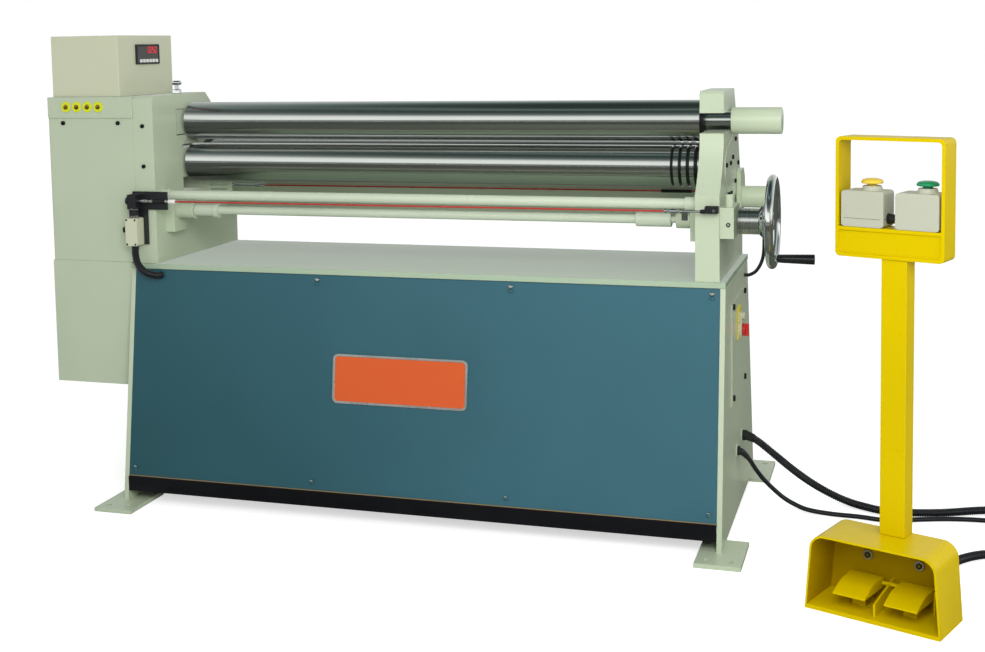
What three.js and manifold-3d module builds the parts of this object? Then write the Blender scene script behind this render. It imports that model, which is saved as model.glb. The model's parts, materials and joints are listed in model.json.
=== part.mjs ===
// Plate rolling machine: three rolls between two frames on a sheet metal stand, a gear
// housing at the left, a handwheel at the right and a free standing foot and hand control.
// Millimetres. X runs along the rolls from the left roll end, Y to the back from the roll
// axis, Z up from the floor. The finished group is moved so that its origin is on the floor
// below the middle of the machine, cables left out.
import * as THREE from 'three';
import { mergeVertices } from 'three/addons/utils/BufferGeometryUtils.js';
import Module from 'manifold-3d';

const wasm = await Module();
wasm.setup();

// Driving sizes
const rollLength = 1570;
const rollDiameter = 115;
const pinchOpening = 10.7; // free height between the top and bottom roll at rest
const pinchRise = 9; // how far the bottom roll climbs from rest
const pinchDrop = 5; // how far it sinks
const feedTravel = 50; // how far the rear roll climbs along its slanted guide
const feedRest = 22; // how far up its guide the rear roll stands at rest
const feedTilt = THREE.MathUtils.degToRad(15);
const frameOverRoll = 85.7; // from the axis of the top roll to the top of the frames
const sillUnderRoll = 88.6; // from the axis of the bottom roll to the sill of its windows
const tableTop = 704;
const rollsAboveTable = 410.3; // from the table to the axis of the top roll
const seat = 0.3; // gap between pieces that touch
const runningGap = 0.3; // radial gap of a shaft in its bore
const cutOverrun = 4; // how far a cut runs past a face
const sheet = 3; // wall of the sheet metal housings
const facetSize = 6.5; // a circle gets a pair of sides more for each such step of its radius

// Values that follow from them
const rollRadius = rollDiameter / 2;
const topRollZ = tableTop + rollsAboveTable;
const bottomRollZ = topRollZ - rollDiameter - pinchOpening;

// Materials: painted, polished and moulded surfaces
const paint = (name, colour, roughness, metalness = 0) =>
  new THREE.MeshStandardMaterial({ name, color: colour, roughness, metalness });
const cream = paint('cream_paint', 0xc3c8ad, 0.5);
const teal = paint('teal_paint', 0x3f6c7d, 0.45);
const steel = paint('polished_steel', 0xa9aaa6, 0.22, 1);
const castIron = paint('cast_iron', 0x6d706c, 0.6, 0.6);
const chrome = paint('chrome', 0xd8dadb, 0.1, 1);
const yellow = paint('yellow_paint', 0xe9c500, 0.45);
const greyPlastic = paint('grey_plastic', 0xbfc0ae, 0.6);
const black = paint('black_plastic', 0x17171b, 0.5);
const red = paint('red_plastic', 0xa8281f, 0.45);
const green = paint('green_plastic', 0x0d7a4f, 0.4);
const buttonYellow = paint('button_yellow', 0xe3b63a, 0.4);

// Solids from three.js geometries
function solid(geometry) {
  geometry.deleteAttribute('normal');
  geometry.deleteAttribute('uv');
  const merged = mergeVertices(geometry);
  return new wasm.Manifold(new wasm.Mesh({
    numProp: 3,
    vertProperties: new Float32Array(merged.attributes.position.array),
    triVerts: new Uint32Array(merged.index.array),
  }));
}

// How many flat sides stand for a circle
function sidesOf(radius) {
  return 2 * Math.round(Math.min(4 + radius / facetSize, 18));
}

// Radius of a bore whose flat sides still clear a shaft of this radius
function boreOf(radius) {
  return (radius + runningGap) / Math.cos(Math.PI / sidesOf(radius));
}

function box(x, y, z) {
  const geometry = new THREE.BoxGeometry(x[1] - x[0], y[1] - y[0], z[1] - z[0]);
  geometry.translate((x[0] + x[1]) / 2, (y[0] + y[1]) / 2, (z[0] + z[1]) / 2);
  return solid(geometry);
}

// A rod along axis 'x', 'y' or 'z' from one end to the other; at holds its other two places
function rod(axis, ends, at, radius, endRadius = radius) {
  const length = ends[1] - ends[0];
  const geometry = new THREE.CylinderGeometry(endRadius, radius, length, sidesOf(radius));
  if (axis === 'x') geometry.rotateZ(-Math.PI / 2);
  if (axis === 'z') geometry.rotateX(Math.PI / 2);
  const middle = (ends[0] + ends[1]) / 2;
  if (axis === 'x') geometry.translate(middle, at[0], at[1]);
  if (axis === 'y') geometry.translate(at[0], middle, at[1]);
  if (axis === 'z') geometry.translate(at[0], at[1], middle);
  return solid(geometry);
}

// A body turned about a line along X; profile points are [x, radius]
function turned(profile, y, z) {
  const widest = Math.max(...profile.map(([, radius]) => radius));
  const points = profile.map(([x, radius]) => new THREE.Vector2(radius, x));
  const geometry = new THREE.LatheGeometry(points, sidesOf(widest));
  geometry.rotateZ(-Math.PI / 2);
  geometry.translate(0, y, z);
  return solid(geometry);
}

// An outline in Y and Z, or a THREE.Shape, made solid between two places along X
function plateX(outline, x) {
  const shape = outline instanceof THREE.Shape ? outline
    : new THREE.Shape(outline.map(([y, z]) => new THREE.Vector2(y, z)));
  const geometry = new THREE.ExtrudeGeometry(shape,
    { depth: x[1] - x[0], bevelEnabled: false, curveSegments: 5 });
  geometry.applyMatrix4(new THREE.Matrix4().makeBasis(new THREE.Vector3(0, 1, 0),
    new THREE.Vector3(0, 0, 1), new THREE.Vector3(1, 0, 0)));
  geometry.translate(x[0], 0, 0);
  return solid(geometry);
}

// An outline in X and Z made solid between two places along Y
function plateY(outline, y) {
  const shape = outline instanceof THREE.Shape ? outline
    : new THREE.Shape(outline.map(([x, z]) => new THREE.Vector2(x, z)));
  const geometry = new THREE.ExtrudeGeometry(shape,
    { depth: y[1] - y[0], bevelEnabled: false, curveSegments: 4 });
  geometry.rotateX(Math.PI / 2);
  geometry.translate(0, y[1], 0);
  return solid(geometry);
}

function roundedRect(x, z, radius) {
  const shape = new THREE.Shape();
  shape.moveTo(x[0] + radius, z[0]);
  shape.lineTo(x[1] - radius, z[0]);
  shape.absarc(x[1] - radius, z[0] + radius, radius, -Math.PI / 2, 0);
  shape.lineTo(x[1], z[1] - radius);
  shape.absarc(x[1] - radius, z[1] - radius, radius, 0, Math.PI / 2);
  shape.lineTo(x[0] + radius, z[1]);
  shape.absarc(x[0] + radius, z[1] - radius, radius, Math.PI / 2, Math.PI);
  shape.lineTo(x[0], z[0] + radius);
  shape.absarc(x[0] + radius, z[0] + radius, radius, Math.PI, Math.PI * 3 / 2);
  return shape;
}

const join = (...parts) => parts.reduce((whole, part) => whole.add(part));
const cut = (whole, ...tools) => tools.reduce((left, tool) => left.subtract(tool), whole);

const machine = new THREE.Group();
const cords = new THREE.Group();
const pedestal = new THREE.Group();

function geometryOf(manifold) {
  const mesh = manifold.getMesh();
  const geometry = new THREE.BufferGeometry();
  geometry.setAttribute('position', new THREE.BufferAttribute(mesh.vertProperties, 3));
  geometry.setIndex(new THREE.BufferAttribute(mesh.triVerts, 1));
  geometry.computeVertexNormals();
  return geometry;
}

function piece(group, name, manifold, material) {
  const mesh = new THREE.Mesh(geometryOf(manifold), material);
  mesh.name = name;
  group.add(mesh);
  return mesh;
}

// Stand: two leaning side plates on feet, a table plate and sheet panels between them
const table = { front: -226, back: 285, thick: 16, left: -95, right: rollLength + 92 };
const side = {
  thick: 14, frontTop: -224, frontFoot: -316, backTop: 272, backFoot: 432,
};
const foot = { thick: 12, width: 120, depth: 187, reach: 84, holeRadius: 8, holeEdge: 33,
  holeSpacing: 62, shift: 6 };
const sideTop = tableTop - table.thick - seat;
const leftSideX = [table.left, table.left + side.thick];
const rightSideX = [table.right - side.thick, table.right];
const frontLean = (side.frontTop - side.frontFoot) / (sideTop - foot.thick);
const backLean = (side.backTop - side.backFoot) / (sideTop - foot.thick);
const frontAt = (z) => side.frontTop - frontLean * (sideTop - z);
const backAt = (z) => side.backTop - backLean * (sideTop - z);

const access = { // cover on the right side plate, over the opening to the controls
  y: [-113, 250], z: [345, 626], thick: 3, corner: 48, lap: 22, bolt: 8, boltHigh: 5,
  boltFront: 21, boltBack: 85.5, boltLow: 20, boltTop: 10.5,
};
const grommet = { // where the two cables come out of the right side plate
  radius: 19, thick: 2, conduitY: 128, conduitZ: 201, supplyY: 12, supplyZ: 189,
};
const conduitRadius = 11.5;
const supplyRadius = 6.5;

function footPlate(centreX, front) {
  const x = [centreX - foot.width / 2, centreX + foot.width / 2];
  const y = front ? [side.frontFoot - foot.reach, side.frontFoot - foot.reach + foot.depth]
    : [side.backFoot + foot.reach - foot.depth, side.backFoot + foot.reach];
  const holeY = front ? y[0] + foot.holeEdge : y[1] - foot.holeEdge;
  const holes = [-1, 1].map((s) => rod('z', [-cutOverrun, foot.thick + cutOverrun],
    [centreX + s * foot.holeSpacing / 2, holeY], foot.holeRadius));
  return cut(box(x, y, [0, foot.thick]), ...holes);
}

function standSide(x) {
  const outline = [[side.frontFoot, foot.thick], [side.backFoot, foot.thick],
    [side.backTop, sideTop], [side.frontTop, sideTop]];
  const centre = (x[0] + x[1]) / 2 + foot.shift;
  return join(plateX(outline, x), footPlate(centre, true), footPlate(centre, false));
}

function grommetDisc(y, z) {
  return rod('x', [rightSideX[1] - sheet, rightSideX[1] + grommet.thick], [y, z],
    grommet.radius);
}

function buildStand() {
  piece(machine, 'stand_left_side', standSide(leftSideX), cream);
  const window = box([rightSideX[0] - cutOverrun, rightSideX[1] + cutOverrun],
    [access.y[0] + access.lap, access.y[1] - access.lap],
    [access.z[0] + access.lap, access.z[1] - access.corner - access.lap]);
  piece(machine, 'stand_right_side', cut(join(standSide(rightSideX),
    grommetDisc(grommet.conduitY, grommet.conduitZ),
    grommetDisc(grommet.supplyY, grommet.supplyZ)), window), cream);
  piece(machine, 'table_plate', box([table.left, table.right], [table.front, table.back],
    [tableTop - table.thick, tableTop - seat]), cream);
}

const panel = { bottom: 82, thick: 3, inset: 1.5, screw: 7, screwHigh: 2.5, edge: 25,
  topDrop: 1 };
const channel = { low: 39, high: 82, depth: 44, wall: 4 };
const panelX = [leftSideX[1] + seat, rightSideX[0] - seat];

// A sheet that leans as the front or back edges of the side plates do
function leaningSheet(edgeAt, inward, z, thick) {
  const outer = edgeAt(z[0]) + inward * panel.inset;
  const outerTop = edgeAt(z[1]) + inward * panel.inset;
  return plateX([[outer, z[0]], [outer + inward * thick, z[0]],
    [outerTop + inward * thick, z[1]], [outerTop, z[1]]], panelX);
}

const screwShares = [0.008, 0.335, 0.667, 0.984]; // places of the panel screws along X

function buildPanels() {
  const z = [panel.bottom + seat, sideTop - panel.topDrop];
  let front = leaningSheet(frontAt, 1, z, panel.thick);
  const turn = Math.PI / 2 - Math.atan(frontLean);
  for (const share of screwShares) {
    for (const screwZ of [z[0] + panel.edge, z[1] - panel.edge]) {
      const x = panelX[0] + (share * (panelX[1] - panelX[0]));
      if (share === screwShares[0] && screwZ === z[1] - panel.edge) continue;
      const head = new THREE.CylinderGeometry(panel.screw, panel.screw,
        panel.screwHigh + panel.thick, sidesOf(panel.screw));
      head.rotateX(turn);
      head.translate(x + panel.screw, frontAt(screwZ) + panel.inset, screwZ);
      front = front.add(solid(head));
    }
  }
  piece(machine, 'front_panel', front, teal);
  piece(machine, 'rear_panel', leaningSheet(backAt, -1, [channel.low, z[1]], panel.thick), cream);
  const low = frontAt(channel.low) + panel.inset;
  const outline = [[low, channel.low], [low + channel.depth, channel.low],
    [low + channel.depth, channel.low + channel.wall],
    [low + channel.wall, channel.low + channel.wall],
    [low + channel.wall, channel.high - channel.wall],
    [low + channel.depth, channel.high - channel.wall],
    [low + channel.depth, channel.high], [low, channel.high]];
  piece(machine, 'front_channel', plateX(outline, panelX), black);
}

// Side frames that carry the rolls
const frame = {
  leftX: [-73, -8], rightX: [rollLength + 12, rollLength + 76], front: -222, back: 285,
  top: topRollZ + frameOverRoll, chamfer: 8,
};
const frameBase = tableTop;
const rear = { y: 132.3, z: topRollZ - 125 }; // rear roll axis at rest
const block = { // bearing blocks that slide in the frames' windows
  half: 45, halfWide: 55, drawIn: 2, rearHalf: 38, rise: 1,
};
const journal = { radius: 30, topRight: 25 };
const swing = { // the bearing that lets the top roll swing out to the front
  pivotX: -100, halfHigh: 38, front: -76, back: 60, windowFront: -85, windowBack: 75,
  gapHigh: 2, outerX: -115, innerX: -12, pin: 11, plate: 14, bracketX: -118,
  halfWide: 42, web: 14, webGap: 6,
};
const counterbore = { radius: 68, depth: 10 };
const clamp = { y: -19, x: -40, screw: 6, radius: 15, waist: 8, flare: 12, high: 13 };
const crossShaft = { y: -130, z: tableTop + 151, radius: 12.5 };
const jackSill = bottomRollZ - sillUnderRoll;
const windowOver = 27; // half height of the open slot in the right frame
const feedUp = [-Math.sin(feedTilt), Math.cos(feedTilt)]; // climbing direction in Y and Z
const feedAcross = [Math.cos(feedTilt), Math.sin(feedTilt)];

// A rectangle along the slanted guide: from and to along it, half its width across
function feedOutline(from, to, half) {
  return [[from, -half], [from, half], [to, half], [to, -half]].map(([along, across]) => [
    rear.y + along * feedUp[0] + across * feedAcross[0],
    rear.z + along * feedUp[1] + across * feedAcross[1]]);
}

function frameCuts(x) {
  const through = [x[0] - cutOverrun, x[1] + cutOverrun];
  const half = block.halfWide + runningGap;
  const top = bottomRollZ + block.half + pinchRise + block.rise;
  return [box(through, [-half, half], [jackSill, top]),
    plateX(feedOutline(-block.rearHalf - feedRest - block.rise,
      block.rearHalf + feedTravel - feedRest + block.rise, block.rearHalf + runningGap),
    through)];
}

const rightShares = { // where the right frame's outline turns, as shares of its height
  shoulder: 0.456, neck: 0.77, backTop: 0.9, backMid: 0.72, backLow: 0.556, backFoot: 0.355,
};
const rightFrameY = { neck: -130, topBack: 95, backTop: 125, backMid: 175, backLow: 215 };

function rightOutline() {
  const height = frame.top - frameBase;
  const at = (share) => frameBase + share * height;
  const shape = new THREE.Shape();
  shape.moveTo(frame.front, frameBase);
  shape.lineTo(frame.back, frameBase);
  shape.lineTo(frame.back, at(rightShares.backFoot));
  shape.lineTo(rightFrameY.backLow, at(rightShares.backLow));
  shape.lineTo(rightFrameY.backMid, at(rightShares.backMid));
  shape.lineTo(rightFrameY.backTop, at(rightShares.backTop));
  shape.lineTo(rightFrameY.topBack, frame.top);
  shape.lineTo(rightFrameY.neck + frame.chamfer, frame.top);
  shape.lineTo(rightFrameY.neck, frame.top - frame.chamfer);
  shape.lineTo(rightFrameY.neck, at(rightShares.neck));
  shape.quadraticCurveTo(rightFrameY.neck,
    at((rightShares.neck + rightShares.shoulder) / 2), frame.front, at(rightShares.shoulder));
  return shape;
}

const worm = { x: 36, y: [-215, -86], low: -37, high: 44, boss: 12, bossHigh: 34,
  bossInset: 14, bossBack: 24, bolt: 5, boltHigh: 3 };
const bracket = { leftX: 28, leftY: [-165, -96], leftLow: -64, leftHigh: 24, boss: 27.5,
  bossLong: 56, rightX: 22, rightY: [-160, -100], rightLow: -54, rightHigh: 26,
  rightBoss: 23, rightBossLong: 40 };
const shaft = { pin: 9, leftPin: 15, inset: 14, sleeve: 19, sleeveLong: 62, collar: 23,
  collarLong: 15, rightSleeve: 20, rightSleeveLong: 96 };
const guide = { y: [57, 63], z: [176, 221], x: 103, slotHalf: 3, slotRise: 14,
  slotEnd: 14 };

// Brackets that carry the cross shaft, made in one with the frames
function leftBracket() {
  const { y, z } = crossShaft;
  const start = frame.leftX[1] - sheet;
  const plateEnd = frame.leftX[1] + bracket.leftX;
  const bossEnd = plateEnd + bracket.bossLong;
  return cut(join(box([start, plateEnd], bracket.leftY,
    [z + bracket.leftLow, z + bracket.leftHigh]),
  rod('x', [plateEnd - sheet, bossEnd], [y, z], bracket.boss)),
  rod('x', [frame.leftX[1] + shaft.inset, bossEnd + cutOverrun], [y, z],
    boreOf(shaft.leftPin)));
}

function rightBracket() {
  const { y, z } = crossShaft;
  const plate = frame.rightX[0] - bracket.rightX;
  return join(box([plate, frame.rightX[0] + sheet], bracket.rightY,
    [z + bracket.rightLow, z + bracket.rightHigh]),
  rod('x', [plate - bracket.rightBossLong, plate + sheet], [y, z], bracket.rightBoss),
  wormBlock(z));
}

// The block that holds the worm: a foot with a boss and a bolt on it
function wormBlock(z) {
  const x = [frame.rightX[1] - sheet, frame.rightX[1] + worm.x];
  const top = z + worm.high;
  const at = [x[1] - worm.bossInset, worm.y[0] + worm.bossBack];
  return join(box(x, worm.y, [z + worm.low, top]),
    rod('z', [top - sheet, top + worm.bossHigh], at, worm.boss),
    rod('z', [top, top + worm.bossHigh + worm.boltHigh], at, worm.bolt),
    rod('y', [worm.y[0] - worm.boltHigh, worm.y[0] + sheet], [at[0], z], worm.bolt));
}

function wireGuide() {
  const plate = [frame.leftX[1] - sheet, frame.leftX[1] + guide.x];
  const slots = [1, 2].map((n) => {
    const z = tableTop + guide.z[0] + n * guide.slotRise;
    return box([frame.leftX[1] + guide.slotEnd * 2, plate[1] - guide.slotEnd],
      [guide.y[0] - cutOverrun, guide.y[1] + cutOverrun], [z, z + guide.slotHalf * 2]);
  });
  return cut(box(plate, guide.y, guide.z.map((height) => tableTop + height)), ...slots);
}

const leftBack = { topBack: 98, cornerBack: 130, corner: 28, low: 250 };
const torquePin = { y: -150, radius: 8, reach: 142 };

function buildFrames() {
  const left = plateX([[frame.front, frameBase], [frame.back, frameBase],
    [frame.back, frame.top - leftBack.low], [leftBack.cornerBack, frame.top - leftBack.corner],
    [leftBack.topBack, frame.top], [frame.front + frame.chamfer, frame.top],
    [frame.front, frame.top - frame.chamfer]], frame.leftX);
  const leftThrough = [frame.leftX[0] - cutOverrun, frame.leftX[1] + cutOverrun];
  const high = swing.halfHigh + swing.gapHigh;
  const recess = [frame.leftX[1] - counterbore.depth, frame.leftX[1] + cutOverrun];
  const recessBox = [bottomRollZ - pinchDrop, bottomRollZ + pinchRise];
  const leftDone = cut(left, ...frameCuts(frame.leftX),
    box(leftThrough, [swing.windowFront, swing.windowBack], [topRollZ - high, topRollZ + high]),
    rod('x', recess, [0, recessBox[0]], counterbore.radius),
    rod('x', recess, [0, recessBox[1]], counterbore.radius),
    rod('z', [topRollZ, frame.top + cutOverrun], [clamp.x, clamp.y],
      boreOf(clamp.screw)));
  const stud = rod('x', [frame.leftX[0] - torquePin.reach, frame.leftX[0] + cutOverrun],
    [torquePin.y, bottomRollZ], torquePin.radius);
  piece(machine, 'left_frame', join(leftDone, stud, leftBracket(), wireGuide()), cream);

  const rightThrough = [frame.rightX[0] - cutOverrun, frame.rightX[1] + cutOverrun];
  const slot = join(rod('x', rightThrough, [0, topRollZ], windowOver),
    box(rightThrough, [frame.front, 0], [topRollZ - windowOver, topRollZ + windowOver]));
  const shaftBore = rod('x', [frame.rightX[0] - bracket.rightX - bracket.rightBossLong
    - cutOverrun, frame.rightX[1] + worm.x + cutOverrun], [crossShaft.y, crossShaft.z],
  boreOf(shaft.pin));
  piece(machine, 'right_frame', cut(join(plateX(rightOutline(), frame.rightX),
    rightBracket()), ...frameCuts(frame.rightX), slot, shaftBore), cream);
}

// Rolls, with wire grooves at the right end of the two lower ones
const gear = { x: [-153, -129], teeth: 15, pitch: 60, tip: 66, root: 49, thick: 6,
  tipThick: 3, bore: 30 };
const groove = { first: 11, spacing: 22, depth: 4.5, widths: [9, 8, 7, 6] };
const handleTube = { length: 135.5, radius: 36.5, start: 5.5, bore: 59.5, chamfer: 3 };
const reducer = { x: [-330, -190], half: 80, halfHigh: 88, boss: 48, bossLong: 20,
  chamfer: 26 };
const rollEdge = 2;

function rollProfile(leftEnd, rightEnd, leftRadius, rightRadius, grooved) {
  const points = [[leftEnd, 0], [leftEnd, leftRadius], [0, leftRadius],
    [0, rollRadius - rollEdge], [rollEdge, rollRadius]];
  if (grooved) {
    groove.widths.slice().reverse().forEach((width, i) => {
      const centre = rollLength - groove.first - groove.spacing * (groove.widths.length - 1 - i);
      points.push([centre - width / 2, rollRadius], [centre, rollRadius - groove.depth],
        [centre + width / 2, rollRadius]);
    });
  }
  points.push([rollLength - rollEdge, rollRadius], [rollLength, rollRadius - rollEdge],
    [rollLength, rightRadius], [rightEnd, rightRadius], [rightEnd, 0]);
  return points;
}

function gearWheel(z) {
  const shape = new THREE.Shape();
  for (let tooth = 0; tooth < gear.teeth; tooth++) {
    const angle = Math.PI / 2 + tooth * Math.PI * 2 / gear.teeth;
    const corner = (radius, width) => new THREE.Vector2(
      radius * Math.cos(angle) - width / 2 * Math.sin(angle),
      radius * Math.sin(angle) + width / 2 * Math.cos(angle));
    const points = [corner(gear.root, -gear.thick), corner(gear.pitch, -gear.thick),
      corner(gear.tip, -gear.tipThick), corner(gear.tip, gear.tipThick),
      corner(gear.pitch, gear.thick), corner(gear.root, gear.thick)];
    if (tooth === 0) shape.moveTo(points[0].x, points[0].y);
    points.forEach((p) => shape.lineTo(p.x, p.y));
  }
  const wheel = plateX(shape, gear.x).translate([0, 0, z]);
  return cut(wheel, rod('x', [gear.x[0] - cutOverrun, gear.x[1] + cutOverrun], [0, z],
    boreOf(gear.bore)));
}

function buildTopRoll() {
  const tubeX = [frame.rightX[1] + handleTube.start,
    frame.rightX[1] + handleTube.start + handleTube.length];
  const rightEnd = tubeX[0] + handleTube.bore - seat;
  piece(machine, 'top_roll', turned(rollProfile(gear.x[0] - seat, rightEnd, journal.radius,
    journal.topRight, false), 0, topRollZ), steel);
  piece(machine, 'top_roll_gear', gearWheel(topRollZ), castIron);
  const inner = boreOf(journal.topRight);
  piece(machine, 'swing_handle_tube', turned([[tubeX[0] + handleTube.bore, 0],
    [tubeX[0] + handleTube.bore, inner], [tubeX[0], inner], [tubeX[0], handleTube.radius],
    [tubeX[1] - handleTube.chamfer, handleTube.radius],
    [tubeX[1], handleTube.radius - handleTube.chamfer], [tubeX[1], 0]], 0, topRollZ), cream);

  const bore = rod('x', [swing.outerX - cutOverrun, swing.innerX + cutOverrun],
    [0, topRollZ], boreOf(journal.radius));
  const pinZ = swing.halfHigh + swing.gapHigh + swing.plate;
  const pins = cut(rod('z', [topRollZ - pinZ, topRollZ + pinZ], [swing.pivotX, 0], swing.pin),
    box([swing.outerX, swing.innerX], [-swing.halfWide, swing.halfWide],
      [topRollZ - journal.radius, topRollZ + journal.radius]));
  piece(machine, 'swing_block', cut(join(box([swing.outerX, swing.innerX],
    [swing.front, swing.back], [topRollZ - swing.halfHigh, topRollZ + swing.halfHigh]), pins),
  bore), cream);

  const x = [swing.bracketX, frame.leftX[0] - seat];
  const z = swing.halfHigh + swing.gapHigh;
  const back = swing.back + swing.webGap;
  const shelf = (low, up) => box(x, [-swing.halfWide, back + swing.web], [low, up]);
  const web = box(x, [back, back + swing.web], [topRollZ - z, topRollZ + z]);
  piece(machine, 'swing_pivot_bracket', cut(join(shelf(topRollZ + z, topRollZ + z + swing.plate),
    shelf(topRollZ - z - swing.plate, topRollZ - z), web),
  rod('z', [topRollZ - z - swing.plate - cutOverrun, topRollZ + z + swing.plate + cutOverrun],
    [swing.pivotX, 0], boreOf(swing.pin))), castIron);
}

const motor = { x: -260, radius: 82, flange: 95, flangeThick: 14, long: 300, cowl: 88,
  cowlLong: 62, boxHalf: 36, boxOut: 30, boxLow: 150, boxHigh: 230, finDeep: 9, fins: 8,
  finWide: 8 };
const arm = { x: 14, half: 20, slotHalf: 18.5, back: 66, front: 24 };

function buildBottomRoll() {
  const leftEnd = reducer.x[0] + seat;
  const coverX = frame.rightX[1];
  piece(machine, 'bottom_roll', turned(rollProfile(leftEnd, coverX - block.drawIn - seat,
    journal.radius, journal.radius, true), 0, bottomRollZ), steel);
  piece(machine, 'bottom_roll_gear', gearWheel(bottomRollZ), castIron);
  const slide = (name, x) => {
    const bore = rod('x', [x[0] - cutOverrun, x[1] + cutOverrun], [0, bottomRollZ],
      boreOf(journal.radius));
    piece(machine, name, cut(box(x, [-block.halfWide, block.halfWide],
      [bottomRollZ - block.half, bottomRollZ + block.half]), bore), cream);
  };
  slide('pinch_block_left', [frame.leftX[0] + block.drawIn, swing.innerX]);
  slide('pinch_block_right', [frame.rightX[0] + block.drawIn, coverX - block.drawIn]);

  const shape = [[-reducer.half, -reducer.halfHigh], [reducer.half, -reducer.halfHigh],
    [reducer.half, reducer.halfHigh - reducer.chamfer],
    [reducer.half - reducer.chamfer, reducer.halfHigh],
    [-reducer.half + reducer.chamfer, reducer.halfHigh],
    [-reducer.half, reducer.halfHigh - reducer.chamfer]];
  const body = plateX(shape.map(([y, z]) => [y, bottomRollZ + z]), reducer.x);
  const boss = rod('x', [reducer.x[1] - cutOverrun, reducer.x[1] + reducer.bossLong],
    [0, bottomRollZ], reducer.boss);
  const armX = [reducer.x[1] - arm.x, reducer.x[1]];
  const lever = box(armX, [torquePin.y - arm.front, -arm.back],
    [bottomRollZ - arm.half, bottomRollZ + arm.half]);
  const slot = box([armX[0] - cutOverrun, armX[1] + cutOverrun],
    [torquePin.y - torquePin.radius - runningGap, torquePin.y + torquePin.radius + runningGap],
    [bottomRollZ - arm.slotHalf, bottomRollZ + arm.slotHalf]);
  piece(machine, 'gear_reducer', cut(join(body, boss, cut(lever, slot)),
    rod('x', [reducer.x[0] - cutOverrun, reducer.x[1] + reducer.bossLong + cutOverrun],
      [0, bottomRollZ], boreOf(journal.radius))),
  castIron);

  const top = bottomRollZ - reducer.halfHigh - seat;
  const low = top - motor.long;
  let hull = join(rod('z', [low, top], [motor.x, 0], motor.radius),
    rod('z', [top - motor.flangeThick, top], [motor.x, 0], motor.flange),
    rod('z', [low, low + motor.cowlLong], [motor.x, 0], motor.cowl),
    box([motor.x - motor.boxHalf, motor.x + motor.boxHalf],
      [-motor.radius - motor.boxOut, 0], [top - motor.boxHigh, top - motor.boxLow]));
  for (let fin = 0; fin < motor.fins; fin++) {
    const angle = (fin + 0.5) * Math.PI / motor.fins;
    const across = new THREE.BoxGeometry((motor.radius + motor.finDeep) * 2, motor.finWide,
      motor.long - motor.cowlLong - motor.flangeThick);
    across.rotateZ(angle);
    across.translate(motor.x, 0, (low + motor.cowlLong + top - motor.flangeThick) / 2);
    hull = hull.add(solid(across));
  }
  piece(machine, 'drive_motor', hull, castIron);
}

function buildRearRoll() {
  const leftX = [frame.leftX[0] + block.drawIn, frame.leftX[1] - block.drawIn];
  const rightX = [frame.rightX[0] + block.drawIn, frame.rightX[1] - block.drawIn];
  piece(machine, 'rear_roll', turned(rollProfile(leftX[0] + seat, rightX[1] - seat,
    journal.topRight, journal.topRight, true), rear.y, rear.z), steel);
  const slide = (name, x) => {
    const bore = rod('x', [x[0] - cutOverrun, x[1] + cutOverrun], [rear.y, rear.z],
      boreOf(journal.topRight));
    piece(machine, name, cut(plateX(feedOutline(-block.rearHalf, block.rearHalf,
      block.rearHalf), x), bore), castIron);
  };
  slide('rear_block_left', leftX);
  slide('rear_block_right', rightX);
}

// Gear and motor housings, with the control box on top
const housing = { long: 287, x: [0, frame.leftX[0] - seat], y: [-222, 285],
  low: tableTop + 2, drop: 3, strip: 62, stripOut: 4, nippleFirst: 64, nippleStep: 36.5,
  nipples: 4, ring: 12, ringThick: 2, nipple: 4, nippleLong: 9, bolt: 6, boltHigh: 3,
  nippleDrop: 29, boltDrop: 77, boltInset: 50 };
housing.x[0] = frame.leftX[0] - housing.long;
housing.top = frame.top - housing.drop;
housing.stripLow = housing.top - housing.strip;
const motorHousing = { x: [-366, table.left - seat], low: 333 };
const electrics = { x: [-345, -118], y: [-217, 92], high: 181 };
const display = { y: [-122, 8], low: 94, high: 154, thick: 6, rim: 6, deep: 3 };

// An open box of sheet; open names its missing walls
function sheetBox(x, y, z, open) {
  const inner = [[x[0] + sheet, x[1] - sheet], [y[0] + sheet, y[1] - sheet],
    [z[0] + sheet, z[1] - sheet]];
  if (open.includes('right')) inner[0][1] = x[1] + cutOverrun;
  if (open.includes('below')) inner[2][0] = z[0] - cutOverrun;
  if (open.includes('above')) inner[2][1] = z[1] + cutOverrun;
  return cut(box(x, y, z), box(...inner));
}

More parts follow.
